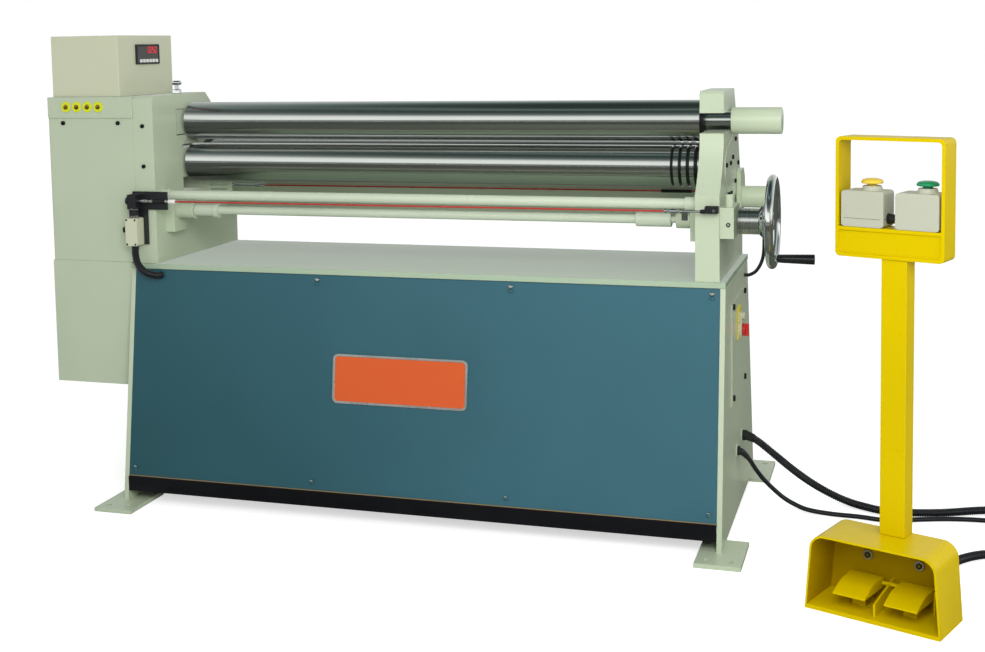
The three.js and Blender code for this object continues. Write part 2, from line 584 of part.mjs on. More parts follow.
function buildHousings() {
  const z = [housing.low, housing.top];
  let shell = sheetBox(housing.x, housing.y, z, ['right', 'below']);
  shell = join(shell, box(housing.x, [housing.y[0] - housing.stripOut, housing.y[0] + sheet],
    [housing.stripLow, housing.top]));
  const face = housing.y[0] - housing.stripOut;
  for (let i = 0; i < housing.nipples; i++) {
    const at = [housing.x[0] + housing.nippleFirst + i * housing.nippleStep,
      housing.top - housing.nippleDrop];
    shell = join(shell,
      rod('y', [face - housing.ringThick, face + sheet], at, housing.ring),
      rod('y', [face - housing.nippleLong, face + sheet], at, housing.nipple));
  }
  for (const x of [housing.x[0] + housing.boltInset, housing.x[1] - housing.boltInset]) {
    shell = join(shell, rod('y', [housing.y[0] - housing.boltHigh, housing.y[0] + sheet],
      [x, housing.top - housing.boltDrop], housing.bolt));
  }
  piece(machine, 'gear_housing', shell, cream);
  piece(machine, 'motor_housing', sheetBox(motorHousing.x, housing.y,
    [motorHousing.low, housing.low - seat], ['right', 'above']), cream);
  const base = housing.top + seat;
  piece(machine, 'electrics_box', sheetBox(electrics.x, electrics.y,
    [base, base + electrics.high], ['below']), cream);
  const x = [electrics.x[1] + seat, electrics.x[1] + seat + display.thick];
  piece(machine, 'display_unit', cut(box(x, display.y, [base + display.low, base + display.high]),
    box([x[1] - display.deep, x[1] + cutOverrun], [display.y[0] + display.rim,
      display.y[1] - display.rim], [base + display.low + display.rim,
      base + display.high - display.rim])), black);
  const at = [clamp.x, clamp.y];
  const level = (n) => frame.top + n * clamp.high;
  piece(machine, 'clamp_knob', join(
    rod('z', [topRollZ + swing.halfHigh + seat, level(1)], at, clamp.screw),
    rod('z', [frame.top + seat, level(1)], at, clamp.radius, clamp.flare),
    rod('z', [level(1), level(2)], at, clamp.waist),
    rod('z', [level(2), level(3)], at, clamp.radius, clamp.flare)), chrome);
}

// Covers and the feed of the rear roll on the outside of the right frame
// The outline of the cover and its bolts, from the bottom roll axis, in roll diameters
const coverShares = [[-0.55, -0.83], [0.6, -0.83], [1.66, -0.5], [1.72, -0.1], [1.38, 0.72],
  [0.6, 0.78], [-0.55, 0.55], [-1.07, 0.3], [-1.07, -0.1]];
const coverBoltShares = [[-0.96, 0.11], [-0.23, 0.1], [-0.1, -0.63], [0.2, 0.21],
  [0.73, 0.61], [1.24, -0.01], [0.68, -0.41]];
const cover = { thick: 3, bolt: 6, boltHigh: 4 };
const feed = { x: 12, y: [110, 218], z: [-106, -20], motor: 31, motorLong: 89, motorY: 162,
  motorZ: -101, chamfer: 28 };

function buildCovers() {
  const x = [frame.rightX[1] + seat, frame.rightX[1] + seat + cover.thick];
  const heads = coverBoltShares.map(([y, z]) => rod('x', [x[0], x[1] + cover.boltHigh],
    [y * rollDiameter, bottomRollZ + z * rollDiameter], cover.bolt));
  const outline = coverShares.map(([y, z]) =>
    [y * rollDiameter, bottomRollZ + z * rollDiameter]);
  piece(machine, 'bearing_cover', join(plateX(outline, x), ...heads), cream);
  const feedX = [x[1] + seat, x[1] + seat + feed.x];
  const floor = bottomRollZ + feed.z[0] - feed.motor;
  const ceiling = bottomRollZ + feed.z[1];
  const shape = [[feed.y[0], floor], [feed.y[1], floor], [feed.y[1], ceiling - feed.chamfer],
    [feed.y[1] - feed.chamfer, ceiling], [feed.y[0], ceiling]];
  const end = feedX[1] + feed.motorLong;
  piece(machine, 'feed_motor', join(plateX(shape, feedX), turned([[feedX[1] - sheet, 0],
    [feedX[1] - sheet, feed.motor], [end - sheet, feed.motor], [end, feed.motor - sheet],
    [end, 0]], feed.motorY, bottomRollZ + feed.motorZ)), cream);
}

// Cross shaft, graduated collar, handwheel and crank handle
const scale = { gap: 4, long: 54, radius: 35, groove: 2 };
const wheel = { radius: 125, rim: 11.5, hub: 24, hubLong: 36, dish: 33, web: 5 };
const crank = { reach: 98, pin: 6, neck: 10.5, end: 13.5, long: 96, gap: 1 };

function buildHandwheel() {
  const { y, z } = crossShaft;
  const shaftStart = frame.leftX[1] + shaft.inset + seat;
  const bossEnd = frame.leftX[1] + bracket.leftX + bracket.bossLong;
  const rightBossEnd = frame.rightX[0] - bracket.rightX - bracket.rightBossLong;
  const wormOut = frame.rightX[1] + worm.x;
  const scaleX = [wormOut + scale.gap, wormOut + scale.gap + scale.long];
  const hubX = [scaleX[1] + seat, scaleX[1] + seat + wheel.hubLong];
  const sleeveX = bossEnd + seat;
  const rightSleeve = rightBossEnd - shaft.inset - shaft.rightSleeveLong;
  piece(machine, 'cross_shaft', turned([[shaftStart, 0],
    [shaftStart, shaft.leftPin], [sleeveX, shaft.leftPin],
    [sleeveX, shaft.sleeve], [sleeveX + shaft.sleeveLong, shaft.sleeve],
    [sleeveX + shaft.sleeveLong, shaft.collar],
    [sleeveX + shaft.sleeveLong + shaft.collarLong, shaft.collar],
    [sleeveX + shaft.sleeveLong + shaft.collarLong, crossShaft.radius],
    [rightSleeve, crossShaft.radius], [rightSleeve, shaft.rightSleeve],
    [rightSleeve + shaft.rightSleeveLong, shaft.rightSleeve],
    [rightSleeve + shaft.rightSleeveLong, shaft.pin], [hubX[1], shaft.pin],
    [hubX[1], 0]], y, z), cream);

  const fit = boreOf(shaft.pin);
  piece(machine, 'graduated_collar', turned([[scaleX[0], fit], [scaleX[1], fit],
    [scaleX[1], scale.radius], [scaleX[0] + scale.long * 0.6, scale.radius],
    [scaleX[0] + scale.long * 0.6, scale.radius - scale.groove],
    [scaleX[0] + scale.long * 0.56, scale.radius - scale.groove],
    [scaleX[0] + scale.long * 0.56, scale.radius], [scaleX[0], scale.radius],
    [scaleX[0], fit]].reverse(), y, z), steel);

  const rimX = hubX[0] + wheel.dish;
  const rimCentre = wheel.radius - wheel.rim;
  const handleAt = [y, z - crank.reach];
  const pinHole = rod('x', [rimX - wheel.radius, rimX + wheel.radius], handleAt,
    boreOf(crank.pin));
  const boss = rod('x', [rimX - wheel.rim, rimX + wheel.rim], handleAt, crank.neck);
  const dished = turned(wheelSection(rimX, rimCentre, hubX, fit), y, z);
  piece(machine, 'handwheel', cut(join(dished, boss), pinHole), chrome);
  const handleX = rimX + wheel.rim + crank.gap;
  piece(machine, 'crank_handle', turned([[rimX - wheel.rim, 0], [rimX - wheel.rim, crank.pin],
    [handleX, crank.pin], [handleX, crank.neck], [handleX + crank.long, crank.end],
    [handleX + crank.long, 0]], handleAt[0], handleAt[1]), black);
}

// How the bell of the wheel widens, in shares of the dish and of the hub radius
const bellShares = [[0, 1.5], [0.33, 1.95], [0.36, 2.1], [0.68, 2.6], [0.72, 2.75], [0.8, 3.3]];

// Closed section of the dished wheel: hub, bell and round rim
function wheelSection(rimX, rimCentre, hubX, fit) {
  const inside = rimCentre - wheel.rim * 0.7;
  const section = [[hubX[0], fit], [hubX[1], fit], [hubX[1], wheel.hub],
    [hubX[0] + wheel.web, wheel.hub],
    ...bellShares.map(([along, out]) => [hubX[0] + along * wheel.dish + wheel.web,
      out * wheel.hub]), [rimX + wheel.rim * 0.5, inside]];
  for (let i = 2; i <= 10; i += 1.6) {
    const angle = Math.PI * (i / 6);
    section.push([rimX + wheel.rim * Math.sin(angle), rimCentre - wheel.rim * Math.cos(angle)]);
  }
  section.push([rimX - wheel.rim * 0.5, inside]);
  bellShares.slice().reverse().forEach(([along, out]) => section.push(
    [hubX[0] + along * wheel.dish, out * wheel.hub]));
  section.push([hubX[0], fit]);
  return section.reverse();
}

// Rods and wires along the front and the back
const overShaft = { tieBar: 48, frontWire: 37, rearWire: 36 }; // heights over the cross shaft
const tieBar = { y: -165, z: crossShaft.z + overShaft.tieBar, radius: 14, collar: 18, collarLong: 34 };
const trip = { y: -245, z: crossShaft.z + overShaft.frontWire, radius: 2.5, ferrule: 5,
  ferruleLong: 22, eyeLong: 9, leftX: 39, rightGap: 76, tensioner: 6, tensionerLong: 46,
  hook: 3, hookIn: 21, tabDrop: 24, tab: 5, blockIn: 17, blockLong: 46, blockHalf: 5.5 };
trip.rightX = frame.rightX[0] - trip.rightGap;
trip.block = [frame.rightX[0] + trip.blockIn, frame.rightX[0] + trip.blockIn + trip.blockLong];
trip.hookEnd = frame.rightX[0] + trip.hookIn;
const rearGuard = { y: 260, thick: 5, low: -55, high: 50, lip: 18 }; // heights as above
const rearTrip = { y: 250, z: crossShaft.z + overShaft.rearWire, ferrule: 5, ferruleLong: 48, eye: 7,
  eyeLong: 40, barShare: [0.893, 0.95], bar: 5 };
const pull = { // pull switch worked by the front wire
  plateX: [-80, 34], plateZ: [161, 214], plateThick: 7.5, armX: [-62, -31], armLow: 58,
  armThick: 4, boxX: [-84, -45], boxDeep: 40, boxZ: [57, 139], boxCorner: 5, neck: 14,
  neckHigh: 30, headX: [-78, -50], headY: 34, headHigh: 38, nose: 11, noseLong: 12,
  rod: 5.5, rodEnd: -19, rodIn: 24, stroke: 6, eye: 5, eyeLong: 8,
  knob: 9, knobLong: 16, knobStem: 4, knobStemIn: 8,
  knobDrop: 37, knobTravel: 3,
};

function buildWires() {
  const left = frame.leftX[1] + seat;
  const right = frame.rightX[0] - seat;
  piece(machine, 'tie_bar', turned([[left, 0], [left, tieBar.collar],
    [left + tieBar.collarLong / 2, tieBar.collar], [left + tieBar.collarLong / 2,
      tieBar.radius], [right - tieBar.collarLong, tieBar.radius],
    [right - tieBar.collarLong, tieBar.collar], [right, tieBar.collar], [right, 0]],
  tieBar.y, tieBar.z), cream);

  const wireEnd = trip.rightX - seat;
  const loopStart = pull.rodEnd + pull.eyeLong * 2 + seat;
  const eyeEnd = trip.leftX + trip.eyeLong;
  piece(machine, 'front_trip_wire', turned([[loopStart, 0], [loopStart, trip.radius],
    [trip.leftX, trip.radius], [trip.leftX, trip.ferrule],
    [trip.leftX + trip.eyeLong / 3, trip.ferrule], [eyeEnd, trip.radius],
    [eyeEnd + trip.ferruleLong / 4, trip.ferrule], [eyeEnd + trip.ferruleLong, trip.ferrule],
    [eyeEnd + trip.ferruleLong, trip.radius], [wireEnd, trip.radius], [wireEnd, 0]],
  trip.y, trip.z), red);
  const tensionerEnd = trip.rightX + trip.tensionerLong;
  const tensioner = join(turned([[trip.rightX, 0], [trip.rightX, trip.tensioner * 0.6],
    [trip.rightX + trip.tensioner, trip.tensioner], [tensionerEnd, trip.tensioner],
    [tensionerEnd, trip.hook], [trip.hookEnd, trip.hook], [trip.hookEnd, 0]],
  trip.y, trip.z), box([tensionerEnd, tensionerEnd + trip.tab * 3],
    [trip.y - trip.radius, trip.y + trip.radius], [trip.z - trip.tabDrop, trip.z]),
  box(trip.block, [trip.y - trip.hook, frame.front - seat],
    [trip.z - trip.blockHalf, trip.z + trip.blockHalf]));
  piece(machine, 'wire_tensioner', tensioner, black);

  const span = right - left;
  const bar = rearTrip.barShare.map((share) => left + share * span);
  const eyeX = left + rearTrip.eyeLong;
  const ferruleX = eyeX + rearTrip.ferruleLong;
  piece(machine, 'rear_trip_wire', turned([[left, 0], [left, rearTrip.eye],
    [left + rearTrip.eye, rearTrip.eye], [left + rearTrip.eye * 2, trip.radius],
    [eyeX, trip.radius], [eyeX, rearTrip.ferrule], [ferruleX, rearTrip.ferrule],
    [ferruleX, trip.radius], [bar[0], trip.radius], [bar[0], rearTrip.bar],
    [bar[1], rearTrip.bar], [bar[1], trip.radius], [right - rearTrip.eye * 2, trip.radius],
    [right - rearTrip.eye, rearTrip.eye], [right, rearTrip.eye], [right, 0]],
  rearTrip.y, rearTrip.z), red);

  const { y, thick, lip } = rearGuard;
  const low = crossShaft.z + rearGuard.low;
  const high = crossShaft.z + rearGuard.high;
  piece(machine, 'rear_guard', plateX([[y, low], [y + lip, low], [y + lip, low + thick],
    [y + thick, low + thick], [y + thick, high], [y, high]], [left, right]), cream);
}

function buildPullSwitch() {
  const face = frame.front - seat;
  const z = (height) => tableTop + height;
  const plates = join(
    box(pull.plateX, [face - pull.plateThick, face], pull.plateZ.map(z)),
    box(pull.armX, [face - pull.plateThick, face - pull.plateThick + pull.armThick],
      [z(pull.armLow), z(pull.plateZ[0]) + sheet]));
  const boxBack = face - pull.plateThick - seat;
  const boxY = [boxBack - pull.boxDeep, boxBack];
  const outline = roundedRect(pull.boxX, pull.boxZ.map(z), pull.boxCorner);
  const axisY = trip.y;
  const knobZ = z(pull.boxZ[1]) - pull.knobDrop;
  const stemBore = rod('x', [pull.boxX[0] - cutOverrun, pull.boxX[0] + pull.knobStemIn
    + pull.knobTravel + seat], [axisY, knobZ], boreOf(pull.knobStem));
  piece(machine, 'limit_switch_box', cut(plateY(outline, boxY), stemBore), cream);
  const headLow = z(pull.boxZ[1]) + seat;
  const middle = (pull.headX[0] + pull.headX[1]) / 2;
  const headZ = [headLow + pull.neckHigh - cutOverrun, headLow + pull.neckHigh + pull.headHigh];
  const bore = rod('x', [pull.headX[1] - pull.rodIn, pull.headX[1] + cutOverrun],
    [axisY, trip.z], boreOf(pull.rod));
  piece(machine, 'pull_switch', cut(join(plates,
    rod('z', [headLow, headZ[1] - cutOverrun], [middle, (boxY[0] + boxY[1]) / 2], pull.neck),
    box(pull.headX, [boxBack - pull.headY, boxBack + sheet], headZ),
    rod('x', [pull.headX[0] - pull.noseLong, pull.headX[0] + cutOverrun], [axisY, trip.z],
      pull.nose)), bore), black);
  piece(machine, 'pull_plunger', turned([[pull.headX[1] - pull.rodIn + pull.stroke, 0],
    [pull.headX[1] - pull.rodIn + pull.stroke, pull.rod], [pull.rodEnd, pull.rod],
    [pull.rodEnd, pull.eye * 0.7], [pull.rodEnd + pull.eyeLong, pull.eye * 0.7],
    [pull.rodEnd + pull.eyeLong, pull.eye], [pull.rodEnd + pull.eyeLong * 2, pull.eye],
    [pull.rodEnd + pull.eyeLong * 2, 0]], axisY, trip.z), steel);
  const knobX = pull.boxX[0] - seat - pull.knobTravel;
  piece(machine, 'reset_knob', join(rod('x', [knobX - pull.knobLong, knobX],
    [axisY, knobZ], pull.knob), rod('x', [knobX - sheet,
    pull.boxX[0] + pull.knobStemIn], [axisY, knobZ], pull.knobStem)), black);
}

// Controls on the right side plate
const mainSwitch = { y: [-2, 60], z: [505, 597], thick: 2.4, radius: 26, bodyLong: 8, knobY: 29,
  knobZ: 530, knob: 20, knobLong: 8, grip: 6, gripLong: 9, haspZ: 569, hasp: 11,
  haspLong: 16 };

function buildSideControls() {
  const x = [rightSideX[1] + seat, rightSideX[1] + seat + access.thick];
  const { y, z } = access;
  const outline = new THREE.Shape();
  outline.moveTo(y[0], z[0]);
  outline.lineTo(y[1], z[0]);
  outline.lineTo(y[1], z[1] - access.corner);
  outline.quadraticCurveTo(y[1], z[1], y[1] - access.corner, z[1]);
  outline.lineTo(y[0], z[1]);
  const heads = [y[0] + access.boltFront, y[1] - access.boltBack].flatMap((boltY) =>
    [z[0] + access.boltLow, z[1] - access.boltTop].map((boltZ) => rod('x',
      [x[0], x[1] + access.boltHigh], [boltY, boltZ], access.bolt)));
  piece(machine, 'access_cover', join(plateX(outline, x), ...heads), cream);
  const plateOut = x[1] + seat + mainSwitch.thick;
  const plate = box([x[1] + seat, plateOut], mainSwitch.y, mainSwitch.z);
  const bodyX = [plateOut - mainSwitch.thick / 2, plateOut + mainSwitch.bodyLong];
  const at = [mainSwitch.knobY, mainSwitch.knobZ];
  const haspAt = [mainSwitch.knobY, mainSwitch.haspZ];
  piece(machine, 'main_switch_body', join(plate, rod('x', bodyX, at, mainSwitch.radius),
    rod('x', [bodyX[0], bodyX[0] + mainSwitch.haspLong], haspAt, mainSwitch.hasp),
    box([bodyX[0], bodyX[1] - sheet],
    [mainSwitch.knobY - mainSwitch.hasp, mainSwitch.knobY + mainSwitch.hasp],
    [mainSwitch.knobZ, mainSwitch.haspZ])), greyPlastic);
  const knobX = [bodyX[1] + seat, bodyX[1] + seat + mainSwitch.knobLong];
  piece(machine, 'main_switch_knob', join(rod('x', knobX, at, mainSwitch.knob),
    box([knobX[1] - sheet, knobX[1] + mainSwitch.gripLong],
    [at[0] - mainSwitch.grip, at[0] + mainSwitch.grip],
    [at[1] - mainSwitch.knob, at[1] + mainSwitch.knob])), red);
}

// Free standing control: foot pedals in a hood, a post and two push buttons on top.
// Its own A goes to the right along its front, B to its back.
const stand = { place: [rightSideX[1] + 379.5, -635.4], turn: -0.371 };
const hood = { half: 162, flare: 11, deep: 141, high: 181, wall: 5, corner: 36, base: 10,
  divider: 5, dividerA: -2.5, dividerB: 20, dividerFront: 39, dividerBack: 66, washer: 12,
  boltZ: 108, boltA: [-63, 62], boltHigh: 4 };
const gland = { a: 60, z: 32, radius: 19, long: 14 };
const pedal = { centres: [-56, 67], wide: 78, axle: 5, b: 112, z: 57, back: 118, thick: 4,
  top: 69, fold: 62, bend: 42, bendZ: 65, tip: 7, tipZ: 51, flange: 4, lowZ: 46,
  lug: 4, lugHalf: 9, lugGap: 2 };
const footSwitch = { half: 16, b: [66, 100], high: 46, stem: 6, stemHigh: 10 };
const head = { half: 129, b: [87, 155], z: [828, 1107], band: 8, corner: 12, inner: 9,
  recess: 4 };
const post = { a: [-18, 42], b: [91, 141], top: head.z[0], wall: 3 };
const control = { left: [-115.5, -14], right: [14, 115.5], b: [88.5, 154], z: 898, high: 84,
  corner: 8, wall: 4, link: 10, linkZ: 20, collar: 25, collarTop: 21, collarHigh: 11, stem: 11,
  capRadius: 25, capHigh: 12, travel: 5, leftButton: -53, rightButton: 78, buttonB: 120,
  stemIn: 14 };

// A folded sheet with a flange at either end that the axle passes through
function pedalShape(x) {
  const { back, thick, top, fold, bend, bendZ, tip, tipZ, flange, lowZ } = pedal;
  const sheetOutline = [[back, top], [fold, top], [bend, bendZ], [tip, tipZ],
    [tip, tipZ - thick], [bend, bendZ - thick], [fold, top - thick], [back, top - thick]];
  const flangeOutline = [[back, top - thick / 2], [fold, top - thick / 2],
    [bend, bendZ - thick / 2], [tip + thick, tipZ - thick / 2], [fold, lowZ], [back, lowZ]];
  return cut(join(plateX(sheetOutline, x), plateX(flangeOutline, [x[0], x[0] + flange]),
    plateX(flangeOutline, [x[1] - flange, x[1]])),
  rod('x', [x[0] - cutOverrun, x[1] + cutOverrun], [pedal.b, pedal.z], boreOf(pedal.axle)));
}

function buildPedestal() {
  const arch = (inset, low) => {
    const half = hood.half - inset;
    const topHalf = half - hood.flare;
    const corner = hood.corner - inset;
    const side = hood.high - inset - corner;
    const shape = new THREE.Shape();
    shape.moveTo(-half, low);
    shape.lineTo(half, low);
    shape.lineTo(topHalf, side);
    shape.absarc(topHalf - corner, side, corner, 0, Math.PI / 2);
    shape.lineTo(-topHalf + corner, hood.high - inset);
    shape.absarc(-topHalf + corner, side, corner, Math.PI / 2, Math.PI);
    return shape;
  };
  const wallB = hood.deep - hood.wall;
  const shell = cut(plateY(arch(0, 0), [0, hood.deep]),
    plateY(arch(hood.wall, hood.base), [-cutOverrun, wallB]));
  const floor = hood.base - sheet;
  const divider = plateX([[wallB + sheet, floor], [hood.dividerB, floor],
    [hood.dividerB, hood.dividerFront], [wallB + sheet, hood.dividerBack]],
  [hood.dividerA, hood.dividerA + hood.divider]);
  const lugB = [pedal.b - pedal.lugHalf, pedal.b + pedal.lugHalf];
  const outer = pedal.wide / 2 + pedal.lugGap;
  const lugA = [pedal.centres[0] - outer - pedal.lug, pedal.centres[1] + outer];
  const lugs = lugA.map((a) => box([a, a + pedal.lug], lugB, [floor, pedal.z + pedal.lugHalf]));
  const axle = rod('x', [lugA[0], lugA[1] + pedal.lug], [pedal.b, pedal.z], pedal.axle);
  const washers = hood.boltA.map((a) => rod('y', [wallB - hood.boltHigh, hood.deep - sheet],
    [a, hood.boltZ], hood.washer));
  const ring = rod('y', [hood.deep - sheet, hood.deep + gland.long], [gland.a, gland.z],
    gland.radius);
  const switches = pedal.centres.flatMap((centre) => [
    box([centre - footSwitch.half, centre + footSwitch.half], footSwitch.b,
      [floor, footSwitch.high]),
    rod('z', [footSwitch.high - sheet, footSwitch.high + footSwitch.stemHigh],
      [centre, footSwitch.b[0] + footSwitch.half], footSwitch.stem)]);
  piece(pedestal, 'pedestal_hood', join(shell, divider, axle, ring, ...lugs, ...washers,
    ...switches), yellow);

  pedal.centres.forEach((centre, i) => {
    const side = i === 0 ? 'left' : 'right';
    piece(pedestal, `pedal_${side}`, pedalShape([centre - pedal.wide / 2,
      centre + pedal.wide / 2]), yellow);
  });

  const tube = cut(box(post.a, post.b, [hood.high + seat, post.top - seat]),
    box([post.a[0] + post.wall, post.a[1] - post.wall],
      [post.b[0] + post.wall, post.b[1] - post.wall],
      [hood.high - cutOverrun, post.top + cutOverrun]));
  piece(pedestal, 'pedestal_post', tube, yellow);

  const x = [-head.half, head.half];
  const inside = [-head.half + head.band, head.half - head.band];
  const z = [head.z[0] + head.band, head.z[1] - head.band];
  const shelfTop = control.z - seat;
  const loop = cut(plateY(roundedRect(x, head.z, head.corner), head.b),
    plateY(roundedRect(inside, z, head.inner), [head.b[0] - cutOverrun,
      head.b[1] + cutOverrun]));
  piece(pedestal, 'pedestal_head', join(loop,
    box([inside[0] - sheet, inside[1] + sheet], [head.b[0] + head.recess,
      head.b[0] + head.recess + sheet],
      [z[0] - sheet, shelfTop]),
    box([inside[0] - sheet, inside[1] + sheet], head.b, [shelfTop - head.band, shelfTop])),
  yellow);

  const boxes = [['left', control.left, control.leftButton, buttonYellow],
    ['right', control.right, control.rightButton, green]];
  for (const [side, a, button, material] of boxes) {
    const top = control.z + control.high;
    const shellBox = cut(plateY(roundedRect(a, [control.z, top], control.corner), control.b),
      box([a[0] + control.wall, a[1] - control.wall], [control.b[0] + control.wall,
        control.b[1] - control.wall], [control.z - cutOverrun, top - control.wall]));
    const collar = rod('z', [top - sheet, top + control.collarHigh],
      [button, control.buttonB], control.collar, control.collarTop);
    const hole = rod('z', [top - control.high / 2, top + control.collarHigh + cutOverrun],
      [button, control.buttonB], boreOf(control.stem));
    const link = rod('x', [control.left[1] - sheet, control.right[0] - seat],
      [control.buttonB, control.z + control.linkZ], control.link);
    const whole = side === 'left' ? join(shellBox, collar, link) : join(shellBox, collar);
    piece(pedestal, `button_box_${side}`, cut(whole, hole), greyPlastic);
    const capLow = top + control.collarHigh + control.travel + seat;
    piece(pedestal, `push_button_${side}`, join(rod('z', [capLow, capLow + control.capHigh],
      [button, control.buttonB], control.capRadius, control.capRadius * 0.92),
    rod('z', [top - control.stemIn, capLow + sheet], [button, control.buttonB],
      control.stem)), material);
  }
  pedestal.position.set(...stand.place, 0);
  pedestal.rotation.z = stand.turn;
}

// Cords
// Route points: X from the outside of the right side plate, Y from the roll axis, Z up
const fromSide = ([x, y, z]) => [rightSideX[1] + x, y, z];
const conduitRoute = [
  [2.6, 128, 201], [12, 128, 200.8], [42, 120, 191], [93, 114, 155], [145, 137, 106],
  [195.5, 166, 62], [247.3, 178, 31], [301.2, 164.8, 15], [353.5, 138, 12.5],
  [389.7, 122, 12.5], [435, 119, 12.5], [485.5, 127, 12.5], [555.5, 146, 12.5],
  [660, 192, 12.5], [740, 211, 12.5], [814, 197, 12.5], [877, 150, 12.5],
  [912, 72, 12.5], [906, -16, 12.5], [862, -88, 12.5], [798, -126, 12.5],
  [723, -138, 12.5], [649, -155, 12.5], [587, -208, 12.5], [552, -276, 12.5],
  [534, -345, 12.5], [528, -398, 12.5], [517, -440, 17], [504.4, -479.7, 27],
  [496.2, -501.3, 31.8], [491.7, -512.1, 32],
].map(fromSide);
const supplyRoute = [
  [2.6, 12, 189], [9, 12.1, 188.6], [28, 25, 168], [50, 45, 127], [72.8, 67.1, 90],
  [122.1, 97.8, 35], [154, 95, 19], [186.2, 85, 11], [253.4, 75.6, 7], [330.2, 70.5, 7],
  [391, 60, 7], [438, 68, 7], [485.4, 86.4, 7], [568, 112, 7], [662.2, 123.7, 7],
  [723, 120, 7],
].map(fromSide);
const coil = { centre: [rightSideX[1] + 779, 15], outer: 97.5, pitch: 14.2, lift: 13.8,
  lowerTurns: 2.9, riseTurns: 0.2, upperTurns: 2.5, upperPitch: 14.8, leadTurns: 0.55,
  leadRadius: 77, steps: 24, z: 7 };
const plug = { radius: 18, long: 52, neck: 9, neckLong: 16, pin: 2.4, pinLong: 19,
  pinHalf: 9.5 };

const vectors = (points) => points.map((p) => new THREE.Vector3(...p));

function tubeAlong(points, radius, sides, steps) {
  const circle = new THREE.Shape();
  for (let i = 0; i < sides; i++) {
    const angle = i * Math.PI * 2 / sides;
    const place = [radius * Math.cos(angle), radius * Math.sin(angle)];
    if (i === 0) circle.moveTo(...place);
    else circle.lineTo(...place);
  }
  const extrudePath = new THREE.CatmullRomCurve3(vectors(points), false, 'centripetal');
  return solid(new THREE.ExtrudeGeometry(circle, { steps, extrudePath }));
}

function coilPoints() {
  const points = [];
  const total = coil.lowerTurns + coil.riseTurns + coil.upperTurns + coil.leadTurns;
  const inner = coil.outer - coil.pitch * coil.lowerTurns;
  const upperStart = coil.lowerTurns + coil.riseTurns;
  const leadStart = upperStart + coil.upperTurns;
  const count = Math.round(total * coil.steps);
  for (let i = 0; i <= count; i++) {
    const turn = total * i / count;
    let radius = coil.outer - coil.pitch * turn;
    let z = coil.z;
    if (turn > coil.lowerTurns) {
      const rise = Math.min((turn - coil.lowerTurns) / coil.riseTurns, 1);
      radius = inner;
      z = coil.z + coil.lift * rise * rise * (3 - 2 * rise);
    }
    if (turn > upperStart) radius = inner + coil.upperPitch * (turn - upperStart);
    if (turn > leadStart) {
      const share = (turn - leadStart) / coil.leadTurns;
      const climb = Math.min(share * 1.6, 1);
      const drawn = Math.max(share * 1.8 - 0.8, 0);
      z += (supplyRadius + plug.radius) * climb * climb * (3 - 2 * climb);
      radius += (coil.leadRadius - radius) * drawn * drawn * (3 - 2 * drawn);
    }
    const angle = Math.PI / 2 - Math.PI * 2 * turn;
    points.push([coil.centre[0] + radius * Math.cos(angle),
      coil.centre[1] + radius * Math.sin(angle), z]);
  }
  return points;
}

function leastGap(points, apart) {
  const places = vectors(points);
  let least = Infinity;
  places.forEach((a, i) => places.slice(i + apart).forEach((b) => {
    least = Math.min(least, a.distanceTo(b));
  }));
  return least - supplyRadius * 2;
}

function coilTube(points) {
  const curve = new THREE.CatmullRomCurve3(vectors(points), false, 'centripetal');
  const shape = new THREE.Shape();
  const sides = 6;
  for (let i = 0; i < sides; i++) {
    const angle = i * Math.PI * 2 / sides;
    const place = [supplyRadius * Math.cos(angle), supplyRadius * Math.sin(angle)];
    if (i === 0) shape.moveTo(...place);
    else shape.lineTo(...place);
  }
  return solid(new THREE.ExtrudeGeometry(shape, { steps: points.length - 1,
    extrudePath: curve }));
}

function buildCords() {
  piece(cords, 'pedestal_conduit', tubeAlong(conduitRoute, conduitRadius, 10, 48), black);
  const turns = coilPoints();
  console.log('coil: least gap between turns', leastGap(turns, 12).toFixed(2), 'mm');
  const first = new THREE.Vector3(...turns[0]);
  const ahead = new THREE.Vector3(...turns[1]).sub(first).normalize();
  const join1 = first.clone().addScaledVector(ahead, -seat);
  piece(cords, 'supply_cable', tubeAlong([...supplyRoute, join1.toArray()],
    supplyRadius, 8, 30), black);
  piece(cords, 'supply_coil', coilTube(turns), black);
  const last = new THREE.Vector3(...turns[turns.length - 1]);
  const way = last.clone().sub(new THREE.Vector3(...turns[turns.length - 2])).normalize();
  const x0 = plug.neckLong;
  const x1 = x0 + plug.long;
  const pins = [-1, 1].map((s) => rod('x', [x1 - sheet, x1 + plug.pinLong],
    [s * plug.pinHalf, 0], plug.pin));
  const body = join(turned([[0, 0], [0, plug.neck * 0.9], [x0, plug.neck],
    [x0 + plug.neck, plug.radius], [x1, plug.radius], [x1, 0]], 0, 0), ...pins);
  const mesh = piece(cords, 'supply_plug', body, black);
  mesh.position.copy(last).addScaledVector(way, seat);
  mesh.quaternion.setFromUnitVectors(new THREE.Vector3(1, 0, 0), way);
  piece(cords, 'switch_conduit', tubeAlong(switchRoute, switchConduit, 8, 12), black);
  piece(cords, 'motor_cable', tubeAlong(motorRoute, motorCable, 8, 12), black);
}

const switchConduit = 11;
const switchRoute = [[-64, -250, 56.4], [-64, -251, 31], [-57, -251, 2], [-38, -250, -19],
  [-14, -247, -29], [2, -239, -32.5], [4, -227.6, -33]]
  .map(([x, y, z]) => [x, y, tableTop + z]);
const motorCable = 5;
const motorRoute = [[55, 162, -132.7], [55, 162, -143], [57, 163, -172], [59, 168, -228],
  [53, 180, -283.6], [33, 190, -320.6], [13, 192, -332.1], [0.6, 192, -332.4]]
  .map(([x, y, z]) => [rightSideX[1] + x, y, bottomRollZ + z]);

